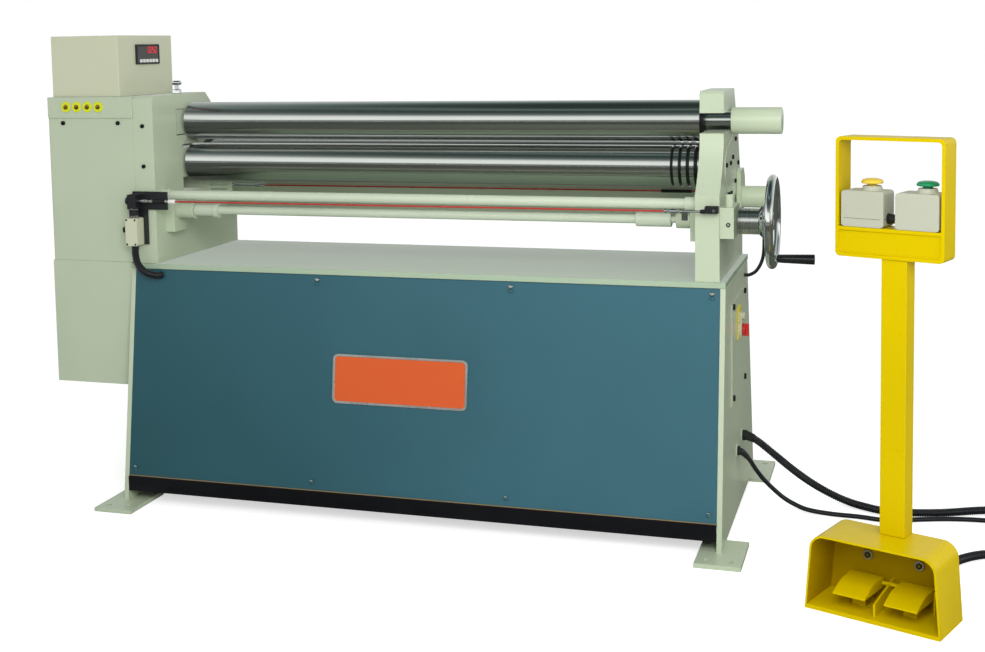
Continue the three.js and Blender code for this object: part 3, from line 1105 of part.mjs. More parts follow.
buildStand();
buildPanels();
buildFrames();
buildTopRoll();
buildBottomRoll();
buildRearRoll();
buildHousings();
buildCovers();
buildHandwheel();
buildWires();
buildPullSwitch();
buildSideControls();
buildPedestal();
buildCords();

const part = new THREE.Group();
part.add(machine, cords, pedestal);
part.updateMatrixWorld(true);
const bounds = new THREE.Box3();
for (const group of [machine, pedestal]) bounds.union(new THREE.Box3().setFromObject(group, true));
part.position.set(-(bounds.min.x + bounds.max.x) / 2, -(bounds.min.y + bounds.max.y) / 2,
  -bounds.min.z);
console.log('origin in the working frame', part.position.toArray().map((v) => (-v).toFixed(2)));
export default part;
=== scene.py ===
"""The looks of the plate rolling machine and its foot and hand control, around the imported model.

Places are written as in the part's source: millimetres, X along the rolls from the left roll
end, Y to the back from the axis of the top roll, Z up from the floor.
"""
import json
import math

import bmesh
import bpy
from mathutils import Matrix, Vector

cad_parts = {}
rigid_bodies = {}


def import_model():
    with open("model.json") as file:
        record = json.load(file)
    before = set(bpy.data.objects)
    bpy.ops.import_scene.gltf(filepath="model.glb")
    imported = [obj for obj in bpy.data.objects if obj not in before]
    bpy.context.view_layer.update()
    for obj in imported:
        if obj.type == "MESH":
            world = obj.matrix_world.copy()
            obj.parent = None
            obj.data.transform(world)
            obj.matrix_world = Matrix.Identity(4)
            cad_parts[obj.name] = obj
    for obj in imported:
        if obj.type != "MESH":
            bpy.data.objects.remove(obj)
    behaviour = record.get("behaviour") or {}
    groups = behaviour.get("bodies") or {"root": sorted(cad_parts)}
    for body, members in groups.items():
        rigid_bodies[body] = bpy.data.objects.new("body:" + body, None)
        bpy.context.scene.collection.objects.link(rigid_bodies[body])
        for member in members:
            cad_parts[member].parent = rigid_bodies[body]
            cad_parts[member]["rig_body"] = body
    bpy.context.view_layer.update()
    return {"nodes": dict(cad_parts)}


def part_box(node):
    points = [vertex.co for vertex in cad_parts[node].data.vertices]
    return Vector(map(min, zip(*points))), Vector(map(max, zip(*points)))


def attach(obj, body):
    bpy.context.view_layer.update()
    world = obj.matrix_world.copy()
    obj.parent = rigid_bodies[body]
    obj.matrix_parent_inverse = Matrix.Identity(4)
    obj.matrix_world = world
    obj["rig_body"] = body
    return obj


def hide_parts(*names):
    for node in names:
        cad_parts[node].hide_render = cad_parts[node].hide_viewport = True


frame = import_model()
table_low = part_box("table_plate")[0]
MM = 0.001
TABLE_CORNER = (-95, -226)  # X and Y of the table plate's left front corner
ORIGIN = Vector((table_low.x - TABLE_CORNER[0] * MM, table_low.y - TABLE_CORNER[1] * MM, 0))
STAND_PLACE = (2041.5, -635.4)
STAND_TURN = -0.371
PANEL_FOOT = (-304.9, 82.3)  # Y and Z of the lower edge of the front panel's face
PANEL_LEAN = math.atan(0.13615)


def at(x, y, z):
    """A place on the machine, in the row frame."""
    return ORIGIN + Vector((x, y, z)) * MM


def on_stand(a, b, z):
    """A place on the control stand: A to the right along its front, B to its back."""
    c, s = math.cos(STAND_TURN), math.sin(STAND_TURN)
    return at(STAND_PLACE[0] + a * c - b * s, STAND_PLACE[1] + a * s + b * c, z)


def on_panel(x, out, up):
    """A place on the leaning front panel: out from its face, up along its slope."""
    c, s = math.cos(PANEL_LEAN), math.sin(PANEL_LEAN)
    return at(x, PANEL_FOOT[0] - out * c + up * s, PANEL_FOOT[1] + out * s + up * c)


def put(name, data):
    """A new object in the scene."""
    obj = bpy.data.objects.new(name, data)
    bpy.context.scene.collection.objects.link(obj)
    return obj


# Camera, fitted to the photograph
CAMERA_PLACE = (2120.115, -3781.322, 1329.733)
YAW, PITCH, ROLL = 0.297, 0.087, -0.017
FOCAL_PIXELS, CENTRE_PIXELS = 1373.928, (492.0, 165.37)
FRAME_WIDE, FRAME_HIGH, SENSOR = 985, 652, 36


def make_camera():
    data = bpy.data.cameras.new("camera")
    camera = put("camera", data)
    ahead = Vector((-math.sin(YAW) * math.cos(PITCH), math.cos(YAW) * math.cos(PITCH),
                    -math.sin(PITCH)))
    level = Vector((math.cos(YAW), math.sin(YAW), 0))
    over = level.cross(ahead)
    right = level * math.cos(ROLL) + over * math.sin(ROLL)
    up = over * math.cos(ROLL) - level * math.sin(ROLL)
    turn = Matrix((right, up, -ahead)).transposed().to_4x4()
    camera.matrix_world = Matrix.Translation(at(*CAMERA_PLACE)) @ turn
    data.sensor_width = SENSOR
    data.lens = FOCAL_PIXELS / FRAME_WIDE * SENSOR
    data.shift_x = (FRAME_WIDE / 2 - CENTRE_PIXELS[0]) / FRAME_WIDE
    data.shift_y = (CENTRE_PIXELS[1] - FRAME_HIGH / 2) / FRAME_WIDE
    data.clip_start, data.clip_end = 0.05, 200
    bpy.context.scene.camera = camera


make_camera()


# Materials
def rgb(red, green, blue):
    """A colour as it shows on screen, 0 to 255, made linear."""
    def linear(v):
        v /= 255
        return v / 12.92 if v <= 0.04045 else ((v + 0.055) / 1.055) ** 2.4
    return (linear(red), linear(green), linear(blue), 1)


def shade(colour, factor):
    return (*(min(1, c * factor) for c in colour[:3]), 1)


def feed(tree, target, inputs):
    """Gives a node's inputs their values, or joins them to the sockets given."""
    for key, value in inputs.items():
        if isinstance(value, bpy.types.NodeSocket):
            tree.links.new(value, target.inputs[key])
        else:
            target.inputs[key].default_value = value


def add(tree, kind, inputs=None, **settings):
    """Adds a node to a tree and returns its outputs."""
    target = tree.nodes.new("ShaderNode" + kind)
    for name, value in settings.items():
        setattr(target, name, value)
    feed(tree, target, inputs or {})
    return target.outputs


MIX_FACTOR, MIX_A, MIX_B, MIX_RESULT = 0, 6, 7, 2  # sockets of a node that mixes colours
SURFACE_IOR = 1.5


def add_ramp(tree, factor, stops, interpolation="LINEAR"):
    """A colour ramp through [(position, colour)]."""
    target = tree.nodes.new("ShaderNodeValToRGB")
    feed(tree, target, {"Fac": factor})
    target.color_ramp.interpolation = interpolation
    elements = target.color_ramp.elements
    elements[0].position, elements[1].position = stops[0][0], stops[-1][0]
    for position, _ in stops[1:-1]:
        elements.new(position)
    for element, (_, colour) in zip(elements, stops):
        element.color = colour
    return target.outputs["Color"]


def surface(name, colour, rough, metal=0.0, vary=0.06, vary_scale=2.5, rough_vary=0.08,
            bump=0.00005, bump_scale=900, stretch=(1, 1, 1), coat=0.0, coat_rough=0.1,
            emit=0.0, level=0.5, gloss_tint=(1, 1, 1, 1), brushed=0.0):
    """A procedural finish: slow colour change, uneven gloss and a fine grain in the surface."""
    material = bpy.data.materials.new(name)
    material.use_nodes = True
    tree = material.node_tree
    shader = tree.nodes["Principled BSDF"]
    place = add(tree, "TexCoord")["Object"]
    mapped = add(tree, "Mapping", {"Scale": stretch, "Vector": place})["Vector"]
    slow = add(tree, "TexNoise", {"Scale": vary_scale, "Detail": 4, "Vector": place})["Fac"]
    tone = add_ramp(tree, slow, [(0.35, shade(colour, 1 - vary)), (0.65, shade(colour, 1 + vary))])
    uneven = add(tree, "TexNoise", {"Scale": 14, "Detail": 6, "Vector": mapped})["Fac"]
    gloss = add(tree, "MapRange", {"Value": uneven, "From Min": 0.3, "From Max": 0.7,
        "To Min": max(0.02, rough - rough_vary), "To Max": min(1, rough + rough_vary)})
    grain = add(tree, "TexNoise", {"Scale": bump_scale, "Detail": 2, "Vector": mapped})["Fac"]
    relief = add(tree, "Bump", {"Strength": 1, "Distance": bump, "Height": grain})["Normal"]
    feed(tree, shader, {
        "Base Color": tone, "Metallic": metal, "Roughness": gloss["Result"], "IOR": SURFACE_IOR,
        "Normal": relief, "Specular IOR Level": level, "Specular Tint": gloss_tint,
        "Coat Weight": coat, "Coat Roughness": coat_rough})
    if coat:
        feed(tree, shader, {"Coat Normal": relief})
    if emit:
        feed(tree, shader, {"Emission Color": tone, "Emission Strength": emit})
    if brushed:
        along = add(tree, "CombineXYZ", {"X": 1})["Vector"]
        feed(tree, shader, {"Anisotropic": brushed, "Tangent": along})
    return material


def paint_light_gradient(material, low, high, start, end):
    """Painted light and shade across a surface: multiplies the colour by low at start, high at end,
    and a blend between the two.
    """
    tree = material.node_tree
    shader = tree.nodes["Principled BSDF"]
    source = shader.inputs["Base Color"].links[0].from_socket
    way = (end - start) / (end - start).length_squared
    place = add(tree, "TexCoord")["Object"]
    along = add(tree, "VectorMath", {0: place, 1: way}, operation="DOT_PRODUCT")["Value"]
    blend = add(tree, "MapRange", {"Value": along, "From Min": start.dot(way),
                                   "From Max": end.dot(way)},
                interpolation_type="SMOOTHSTEP")["Result"]
    tone = add(tree, "Mix", {MIX_FACTOR: blend, MIX_A: low, MIX_B: high},
               data_type="RGBA")[MIX_RESULT]
    product = add(tree, "Mix", {MIX_FACTOR: 1, MIX_A: source, MIX_B: tone},
                  data_type="RGBA", blend_type="MULTIPLY")[MIX_RESULT]
    feed(tree, shader, {"Base Color": product})


def metal(name, colour, rough, **more):
    return surface(name, colour, rough, metal=1, **more)


def ground(name, colour, rough, brushed, **more):
    """Steel ground around its axis: the long way of the gloss runs along X."""
    return metal(name, colour, rough, vary_scale=3, rough_vary=0.01, bump=0.0000003,
                 bump_scale=60, stretch=(26, 1, 1), brushed=brushed, **more)


def moulding(name, colour, rough, coat, **more):
    return surface(name, colour, rough, bump=0.00003, bump_scale=1200, coat=coat, **more)


cream = surface("cream_enamel", rgb(186, 198, 171), 0.36, vary=0.03, rough_vary=0.03,
                bump=0.0001, bump_scale=260, coat=0.25, coat_rough=0.16)
# The table plate's cream, darker and greener than the other cream enamel: painted shade under the
# rolls and a painted tint of what the top reflects.
table_cream_shaded = surface("table_enamel_painted_shade", rgb(165, 184, 158), 0.24, vary=0.01, rough_vary=0.005,
                      bump=0.000008, bump_scale=220, coat=0.14, coat_rough=0.2)
cream_metal = surface("enamelled_bar", rgb(196, 206, 184), 0.26, vary=0.03, rough_vary=0.02,
                      bump=0.00003, bump_scale=500, coat=0.5, coat_rough=0.1)
# The switch boxes' cream, lighter than the cream enamel: painted light on their faces.
cream_box_lit = surface("switch_box_enamel_painted_light", rgb(200, 204, 176), 0.36, vary=0.03,
                    bump=0.0001, bump_scale=420, coat=0.2)
teal = surface("teal_enamel", rgb(48, 92, 106), 0.42, vary=0.08, vary_scale=1.4, bump=0.00018,
               bump_scale=330, coat=0.12, coat_rough=0.22, rough_vary=0.06, level=0.35)
# Painted light and shade on the teal panel: darker towards the lower left, lighter towards the
# upper right.
paint_light_gradient(teal, (0.6, 0.8, 0.74, 1), (1.12, 1.08, 1.04, 1), at(-80, 0, 82), at(1300, 0, 690))
steel = ground("ground_steel", rgb(200, 203, 200), 0.2, 0.95, vary=0.03)
# The rear roll's steel: the same ground finish, darker than the other rolls' steel.
dark_steel = ground("darker_ground_steel", rgb(104, 106, 103), 0.24, 0.9, vary=0.04)
worn_steel = metal("turned_steel", rgb(204, 206, 202), 0.24, vary_scale=30, bump=0.00001,
                   bump_scale=60, stretch=(26, 1, 1))
iron = surface("cast_iron_face", rgb(112, 116, 110), 0.55, metal=0.7, vary=0.14,
               vary_scale=18, bump=0.0003, bump_scale=420)
chrome = metal("chrome_plate", rgb(222, 225, 226), 0.07, vary=0.03, rough_vary=0.04,
               bump=0.000006, bump_scale=120)
zinc = metal("zinc_plate", rgb(190, 190, 178), 0.32, vary=0.12, vary_scale=60, bump=0.00002)
brass = metal("brass_face", rgb(196, 160, 84), 0.28, vary=0.1, vary_scale=80)
black_steel = surface("blackened_steel", rgb(38, 39, 40), 0.35, metal=0.6, vary=0.2,
                      vary_scale=60, bump=0.00003)
black_paint = surface("black_enamel", rgb(30, 31, 34), 0.34, vary=0.2, bump=0.0001,
                      bump_scale=420, coat=0.3)
# The front channel's near-black, darker than the black enamel: its black paint with painted shade
# under the panel.
channel_black_shaded = surface("black_channel_painted_shade", rgb(12, 12, 17), 0.4, vary=0.2, bump=0.0001,
                        bump_scale=420, level=0.3)
lip_brown = surface("folded_lip", rgb(132, 112, 78), 0.4, vary=0.05, bump=0.00003)
black_plastic = surface("black_moulding", rgb(28, 28, 31), 0.42, vary=0.15, bump=0.00006,
                        bump_scale=1300)
black_gloss = surface("black_glossy_moulding", rgb(20, 20, 24), 0.26, vary=0.1,
                      rough_vary=0.02, bump=0.00001, coat=0.6, coat_rough=0.08)
rubber = surface("black_sheath", rgb(25, 26, 33), 0.36, vary=0.15, vary_scale=40,
                 bump=0.00003, coat=0.3)
yellow = surface("yellow_enamel", rgb(206, 180, 0), 0.34, vary=0.04, bump=0.00012,
                 bump_scale=300, level=0.3, gloss_tint=(1, 0.86, 0.12, 1))
yellow_inside = surface("yellow_shaded", rgb(170, 140, 0), 0.5, vary=0.05, bump=0.00012,
                        bump_scale=300, level=0.2, gloss_tint=(1, 0.86, 0.12, 1))
grey_box = surface("grey_moulding", rgb(178, 180, 161), 0.48, vary=0.03, bump=0.00007,
                   bump_scale=1100)
red_plastic = moulding("red_moulding", rgb(186, 34, 28), 0.34, 0.3)
red_wire = surface("red_coated_wire", rgb(178, 48, 42), 0.3, vary=0.1, vary_scale=60,
                   bump=0.00004, coat=0.5)
green_plastic = moulding("green_moulding", rgb(12, 132, 84), 0.3, 0.4, vary=0.05)
yellow_plastic = moulding("yellow_moulding", rgb(228, 196, 60), 0.32, 0.4, vary=0.05)
switch_yellow = surface("yellow_label_plate", rgb(226, 206, 24), 0.4, vary=0.04, bump=0.00003)
orange_plate = surface("orange_plate", rgb(208, 86, 30), 0.32, vary=0.02, rough_vary=0.01,
                       bump=0.00001, coat=0.3)
silver_plate = surface("silver_plate", rgb(206, 208, 206), 0.26, metal=0.9, vary=0.05,
                       vary_scale=40, bump=0.00002)
glass_black = surface("display_glass", rgb(24, 14, 16), 0.08, vary=0.1, bump=0.000004)
digit_red = surface("lit_digit", rgb(210, 20, 34), 0.4, vary=0.02, emit=0.9)
ring_yellow = surface("ring_yellow", rgb(216, 224, 20), 0.4, vary=0.04, bump=0.00003)
key_white = surface("white_keys", rgb(226, 228, 224), 0.4, vary=0.03)
mark_black = surface("engraved_mark", rgb(40, 40, 40), 0.5, vary=0.1)


# Pieces
class Form:
    """Gathers closed bodies, given in millimetres, into one mesh."""

    def __init__(self, to=at):
        self.to, self.points, self.faces = to, [], []

    def gather(self, points, faces):
        first = len(self.points)
        self.points += [self.to(*p) for p in points]
        self.faces += [[first + i for i in face] for face in faces]
        return self

    def skin(self, points, loops, faces):
        """Adds faces between each loop of indices and the next one."""
        for a, b in zip(loops, loops[1:]):
            for k in range(len(a)):
                n = (k + 1) % len(a)
                face = list(dict.fromkeys((a[k], a[n], b[n], b[k])))
                if len(face) > 2:
                    faces.append(face)
        return self.gather(points, faces)

    def turn(self, profile, centre, axis="x", sides=64, ring=False):
        """Turns [(along, radius)] about an axis; a ring's profile closes on itself."""
        points, loops = [], []
        for along, radius in profile:
            if radius < 1e-6:
                loops.append([len(points)] * sides)
                points.append(axis_point(axis, along, centre, 0, 0))
                continue
            loops.append(list(range(len(points), len(points) + sides)))
            for k in range(sides):
                angle = 2 * math.pi * k / sides
                points.append(axis_point(axis, along, centre, radius * math.cos(angle),
                                         radius * math.sin(angle)))
        return self.skin(points, [*loops, loops[0]] if ring else loops, [])

    def prism(self, outline, ends, axis="x"):
        """An outline made solid between two places along an axis."""
        count = len(outline)
        points = [axis_point(axis, end, (0, 0), u, v) for end in ends for u, v in outline]
        faces = [list(range(count))[::-1], list(range(count, 2 * count))]
        faces += [[k, (k + 1) % count, count + (k + 1) % count, count + k]
                  for k in range(count)]
        return self.gather(points, faces)

    def box(self, x, y, z):
        return self.prism(rectangle(y, z), x)

    def frame_ring(self, outer, inner, ends, axis="x"):
        """Two outlines of as many points, made into a closed rim between two places."""
        count = len(outer)
        points = [axis_point(axis, end, (0, 0), u, v)
                  for end in ends for outline in (outer, inner) for u, v in outline]
        faces = []
        for k in range(count):
            n = (k + 1) % count
            o0, i0, o1, i1 = 0, count, 2 * count, 3 * count
            faces += [[o0 + k, o0 + n, i0 + n, i0 + k], [o1 + n, o1 + k, i1 + k, i1 + n],
                      [o0 + n, o0 + k, o1 + k, o1 + n], [i0 + k, i0 + n, i1 + n, i1 + k]]
        return self.gather(points, faces)

    def tube(self, path, radii, sides=16):
        """Follows a path of places, with one radius for each."""
        path = [Vector(p) for p in path]
        normal, points = None, []
        for i, place in enumerate(path):
            ahead = (path[min(i + 1, len(path) - 1)] - path[max(i - 1, 0)]).normalized()
            normal = ahead.orthogonal() if normal is None else normal
            normal = (normal - ahead * normal.dot(ahead)).normalized()
            side = ahead.cross(normal)
            for k in range(sides):
                angle = 2 * math.pi * k / sides
                points.append(place + (normal * math.cos(angle) + side * math.sin(angle))
                              * radii[i])
        loops = [list(range(i * sides, (i + 1) * sides)) for i in range(len(path))]
        return self.skin(points, loops, [loops[0][::-1], loops[-1]])

    def make(self, name, material, replaces=(), bevel=0.0, smooth=35, slot=None, body=None):
        mesh = bpy.data.meshes.new(name)
        mesh.from_pydata(self.points, [], self.faces)
        mend(mesh)
        return show(name, mesh, material, replaces, bevel, smooth, body)


WELD, FLAT_ANGLE = 0.00001, 0.5


def mend(mesh, weld=False):
    """Turns the faces outwards; weld first joins split corners and flat triangles."""
    work = bmesh.new()
    work.from_mesh(mesh)
    if weld:
        bmesh.ops.remove_doubles(work, verts=work.verts, dist=WELD)
        bmesh.ops.dissolve_limit(work, angle_limit=math.radians(FLAT_ANGLE), verts=work.verts,
                                 edges=work.edges)
    bmesh.ops.recalc_face_normals(work, faces=work.faces)
    work.to_mesh(mesh)
    work.free()


def axis_point(axis, along, centre, u, v):
    if axis == "x":
        return (along, centre[0] + u, centre[1] + v)
    if axis == "y":
        return (centre[0] + u, along, centre[1] + v)
    return (centre[0] + u, centre[1] + v, along)


def show(name, mesh, material, replaces, bevel, smooth, body=None):
    """Puts a mesh in the scene, on the body of the node that it replaces, or on the machine."""
    mesh.shade_smooth()
    mesh.set_sharp_from_angle(angle=math.radians(smooth))
    mesh.materials.clear()
    mesh.materials.append(material)
    obj = put(name, mesh)
    if bevel:
        edge = obj.modifiers.new("edge", "BEVEL")
        edge.width = bevel * MM
        edge.segments = 2
        edge.limit_method = "ANGLE"
        edge.angle_limit = math.radians(smooth)
        edge.harden_normals = True
    body = body or (body_of(replaces[0]) if replaces else "machine")
    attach(obj, body)
    if replaces:
        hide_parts(*replaces)
    return obj


def body_of(node):
    return frame["nodes"][node]["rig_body"]


def dress(node, material, bevel):
    """A solid's own shape, with rounded edges and the material it is made of."""
    mesh = frame["nodes"][node].data.copy()
    mend(mesh, weld=True)
    normals = mesh.attributes.get("custom_normal")
    if normals:
        mesh.attributes.remove(normals)
    show(node + "_skin", mesh, material, (node,), bevel, smooth=30)


def finish_node(node, material):
    """A solid whose shape is right keeps it and gets the material."""
    mesh = frame["nodes"][node].data
    mesh.materials.clear()
    mesh.materials.append(material)


def rectangle(u, v, inset=0):
    low_u, high_u, low_v, high_v = u[0] + inset, u[1] - inset, v[0] + inset, v[1] - inset
    return [(low_u, low_v), (high_u, low_v), (high_u, high_v), (low_u, high_v)]


def rounded(u, v, radius, steps=6):
    """Outline of a rectangle with round corners."""
    corners = [(u[1] - radius, v[0] + radius, -90), (u[1] - radius, v[1] - radius, 0),
               (u[0] + radius, v[1] - radius, 90), (u[0] + radius, v[0] + radius, 180)]
    outline = []
    for cu, cv, start in corners:
        for i in range(steps + 1):
            angle = math.radians(start + 90 * i / steps)
            outline.append((cu + radius * math.cos(angle), cv + radius * math.sin(angle)))
    return outline


# Cords
def smooth_path(points, per):
    """Places on a centripetal Catmull-Rom curve through these points."""
    points = [Vector(p) for p in points]
    points = [points[0] * 2 - points[1], *points, points[-1] * 2 - points[-2]]
    path = []
    for p0, p1, p2, p3 in zip(points, points[1:], points[2:], points[3:]):
        d0, d1, d2 = ((b - a).length ** 0.5 for a, b in ((p0, p1), (p1, p2), (p2, p3)))
        m1 = ((p1 - p0) / d0 - (p2 - p0) / (d0 + d1) + (p2 - p1) / d1) * d1
        m2 = ((p2 - p1) / d1 - (p3 - p1) / (d1 + d2) + (p3 - p2) / d2) * d1
        for i in range(per):
            t = i / per
            path.append(p1 + m1 * t + (3 * (p2 - p1) - 2 * m1 - m2) * t ** 2
                        + (2 * (p1 - p2) + m1 + m2) * t ** 3)
    return [*path, points[-2]]


def evenly(path, step):
    """The same line, with places about a step apart."""
    lengths = [0.0]
    for a, b in zip(path, path[1:]):
        lengths.append(lengths[-1] + (b - a).length)
    count = max(2, round(lengths[-1] / step))
    out, k = [], 0
    for i in range(count + 1):
        want = lengths[-1] * i / count
        while k < len(path) - 2 and lengths[k + 1] < want:
            k += 1
        share = (want - lengths[k]) / max(lengths[k + 1] - lengths[k], 1e-9)
        out.append(path[k].lerp(path[k + 1], min(max(share, 0), 1)))
    return out


CONDUIT_RADIUS = 11.5
SIDE_X = 1662  # outside of the right side plate
CONDUIT_ROUTE = [(SIDE_X + x, y, z) for x, y, z in [
    (2.6, 128, 201), (12, 128, 200.8), (42, 120, 191), (93, 114, 155), (145, 137, 106),
    (195.5, 166, 62), (247.3, 178, 31), (301.2, 164.8, 15), (353.5, 138, 12.5),
    (389.7, 122, 12.5), (435, 119, 12.5), (485.5, 127, 12.5), (555.5, 146, 12.5),
    (660, 192, 12.5), (740, 211, 12.5), (814, 197, 12.5), (877, 150, 12.5),
    (912, 72, 12.5), (906, -16, 12.5), (862, -88, 12.5), (798, -126, 12.5),
    (723, -138, 12.5), (649, -155, 12.5), (587, -208, 12.5), (552, -276, 12.5),
    (534, -345, 12.5), (528, -398, 12.5), (517, -440, 17), (504.4, -479.7, 27),
    (496.2, -501.3, 31.8), (491.7, -512.1, 32)]]
SUPPLY_RADIUS = 6.5
SUPPLY_ROUTE = [(SIDE_X + x, y, z) for x, y, z in [
    (2.6, 12, 189), (9, 12.1, 188.6), (28, 25, 168), (50, 45, 127), (72.8, 67.1, 90),
    (122.1, 97.8, 35), (154, 95, 19), (186.2, 85, 11), (253.4, 75.6, 7), (330.2, 70.5, 7),
    (391, 60, 7), (438, 68, 7), (485.4, 86.4, 7), (568, 112, 7), (662.2, 123.7, 7), (723, 120, 7)]]
COIL_CENTRE, COIL_OUTER, COIL_PITCH, COIL_LIFT = (2441, 15), 97.5, 14.2, 13.8
LOWER_TURNS, RISE_TURNS, UPPER_TURNS, UPPER_PITCH = 2.9, 0.2, 2.5, 14.8
LEAD_TURNS, LEAD_RADIUS, COIL_STEPS, COIL_Z = 0.55, 77, 24, 7
PLUG_RADIUS, PIN_START, PIN_APART = 18, 65, 19


def eased(t):
    return t * t * (3 - 2 * t)


def coil_points():
    total = LOWER_TURNS + RISE_TURNS + UPPER_TURNS + LEAD_TURNS
    inner = COIL_OUTER - COIL_PITCH * LOWER_TURNS
    upper_start = LOWER_TURNS + RISE_TURNS
    lead_start = upper_start + UPPER_TURNS
    count = round(total * COIL_STEPS)
    points = []
    for i in range(count + 1):
        turn = total * i / count
        radius, z = COIL_OUTER - COIL_PITCH * turn, COIL_Z
        if turn > LOWER_TURNS:
            radius = inner
            z += COIL_LIFT * eased(min((turn - LOWER_TURNS) / RISE_TURNS, 1))
        if turn > upper_start:
            radius = inner + UPPER_PITCH * (turn - upper_start)
        if turn > lead_start:
            share = (turn - lead_start) / LEAD_TURNS
            z += (SUPPLY_RADIUS + PLUG_RADIUS) * eased(min(share * 1.6, 1))
            radius += (LEAD_RADIUS - radius) * eased(max(share * 1.8 - 0.8, 0))
        angle = math.pi / 2 - 2 * math.pi * turn
        points.append((COIL_CENTRE[0] + radius * math.cos(angle),
                       COIL_CENTRE[1] + radius * math.sin(angle), z))
    return points


RIB_PITCH, RIB_WAVE, RIB_INSET = 6.4, (0, -0.7, -2.2, -0.7), 0.25
SWITCH_HOSE_RADIUS, SWITCH_WAVE, SWITCH_STEP = 11, (0, -0.5, -1.4, -0.5), 1.1
NUT_RADIUS, SUPPLY_STEP, FINE_STEP = 17, 5, 2
OUTLET_REACH, INLET_REACH, SUPPLY_REACH = 34, 32, 36  # lengths of the strain reliefs


def make_hose(name, node, path, radius, wave):
    """A ribbed hose; the wave of its radius repeats along the path."""
    radii = [radius + wave[i % len(wave)] for i in range(len(path))]
    return Form().tube(path, radii, 20).make(name, rubber, (node,), smooth=60)


def taper(form, path, first, change):
    radii = [first + change * i / len(path) for i in range(len(path))]
    return form.tube(path, radii, 24)


def nut(form, start, end):
    return form.tube([start, end], [NUT_RADIUS, NUT_RADIUS], 6)


def make_conduit():
    line = smooth_path(CONDUIT_ROUTE, 24)
    path = evenly(line, RIB_PITCH / len(RIB_WAVE))
    fine = evenly(line, FINE_STEP)
    hose = make_hose("conduit", "pedestal_conduit", path, CONDUIT_RADIUS - RIB_INSET, RIB_WAVE)
    start, ahead = path[0], (path[3] - path[0]).normalized()
    collar = nut(Form(), start - ahead * 0.4, start + ahead * 11)
    collar.tube([start + ahead * 10, start + ahead * 15], [14.5, 13.2], 24)
    taper(collar, [p for p in fine if (p - start).length < OUTLET_REACH], 14, -2)
    collar = collar.make("conduit_outlet", black_plastic, bevel=0.6)
    end = path[-1]
    inlet = taper(Form(), [p for p in fine if (p - end).length < INLET_REACH], 12.2, 2.2)
    nut(inlet, end - (end - path[-9]).normalized() * 9, end)
    inlet = inlet.make("conduit_inlet", black_plastic, bevel=0.6)


def make_plug(last, before):
    """The plug's body on the cable's end, and its two pins."""
    ahead = (last - before).normalized()
    across = ahead.cross(Vector((0, 0, 1))).normalized()
    spots = [(0.0, 8.1), (4, 8.6), (8, 8.0), (12, 8.8), (16, 9.2), (22, 13), (28, 16.6),
             (34, 17.8), (60, PLUG_RADIUS), (66, 17.4), (68, 15.6)]
    plug = Form().tube([last + ahead * (0.3 + s) for s, _ in spots], [r for _, r in spots], 28)
    pins = Form()
    for way in (-1, 1):
        base = last + ahead * PIN_START + across * way * PIN_APART / 2
        pins.tube([base, base + ahead * 20, base + ahead * 22], [2.4, 2.4, 1.6], 16)
    return (plug.make("supply_plug_body", black_plastic, ("supply_plug",), smooth=50),
            pins.make("supply_plug_pins", brass))


def make_supply():
    turns = coil_points()
    path = evenly(smooth_path([*SUPPLY_ROUTE, *turns], 6), SUPPLY_STEP)
    curve = bpy.data.curves.new("supply_lead", "CURVE")
    curve.dimensions = "3D"
    curve.bevel_depth = SUPPLY_RADIUS * MM
    curve.bevel_resolution = 5
    curve.use_fill_caps = True
    line = curve.splines.new("POLY")
    line.points.add(len(path) - 1)
    for spot, place in zip(line.points, path):
        spot.co = (*at(*place), 1)
    curve.materials.append(rubber)
    lead = put("supply_lead", curve)
    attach(lead, "machine")
    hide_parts("supply_cable", "supply_coil")

    start, way = path[0], (path[1] - path[0]).normalized()
    fine = evenly(path, FINE_STEP)
    boot = [p for p in fine[:40] if (p - start).length < SUPPLY_REACH]
    radii = [10.6 - 3.2 * (i / len(boot)) ** 0.8 - (0.9 if i % 4 == 3 else 0)
             for i in range(len(boot))]
    relief = Form().tube(boot, radii, 24)
    relief.tube([start - way * 0.4, start + way * 6], [15, 15], 6)
    relief = relief.make("supply_outlet", black_plastic, bevel=0.4)
    plug, pins = make_plug(Vector(turns[-1]), Vector(turns[-2]))


def make_short_cables():
    switch_line = evenly(smooth_path([
        (-64, -250, 760.4), (-64, -251, 735), (-57, -251, 706), (-38, -250, 685),
        (-14, -247, 675), (2, -239, 671.5), (4, -227.6, 671)], 16), SWITCH_STEP)
    make_hose("switch_hose", "switch_conduit", switch_line, SWITCH_HOSE_RADIUS, SWITCH_WAVE)
    motor_line = evenly(smooth_path([
        (1717, 162, 855.9), (1717, 162, 845.6), (1719, 163, 816.6), (1721, 168, 760.6),
        (1715, 180, 705), (1695, 190, 668), (1675, 192, 656.5), (1662.6, 192, 656.2)], 12), 4)
    lead = Form().tube(motor_line, [5] * len(motor_line), 16)
    lead.tube(motor_line[:6], [8.4, 8.4, 7.6, 7.2, 6.6, 6], 20)
    lead.make("motor_lead", rubber, ("motor_cable",), smooth=60)


make_conduit()
make_supply()
make_short_cables()

# Rolls
ROLL_LONG, ROLL_RADIUS, EDGE = 1570, 57.5, 2
TOP_Z, LOW_Z = 1114.3, 988.6
REAR_Y, REAR_Z = 132.3, 989.3
GROOVES = [(11, 11), (33, 10), (55, 9), (77, 8)]  # from the right end, and width
GROOVE_DEEP = 4.5


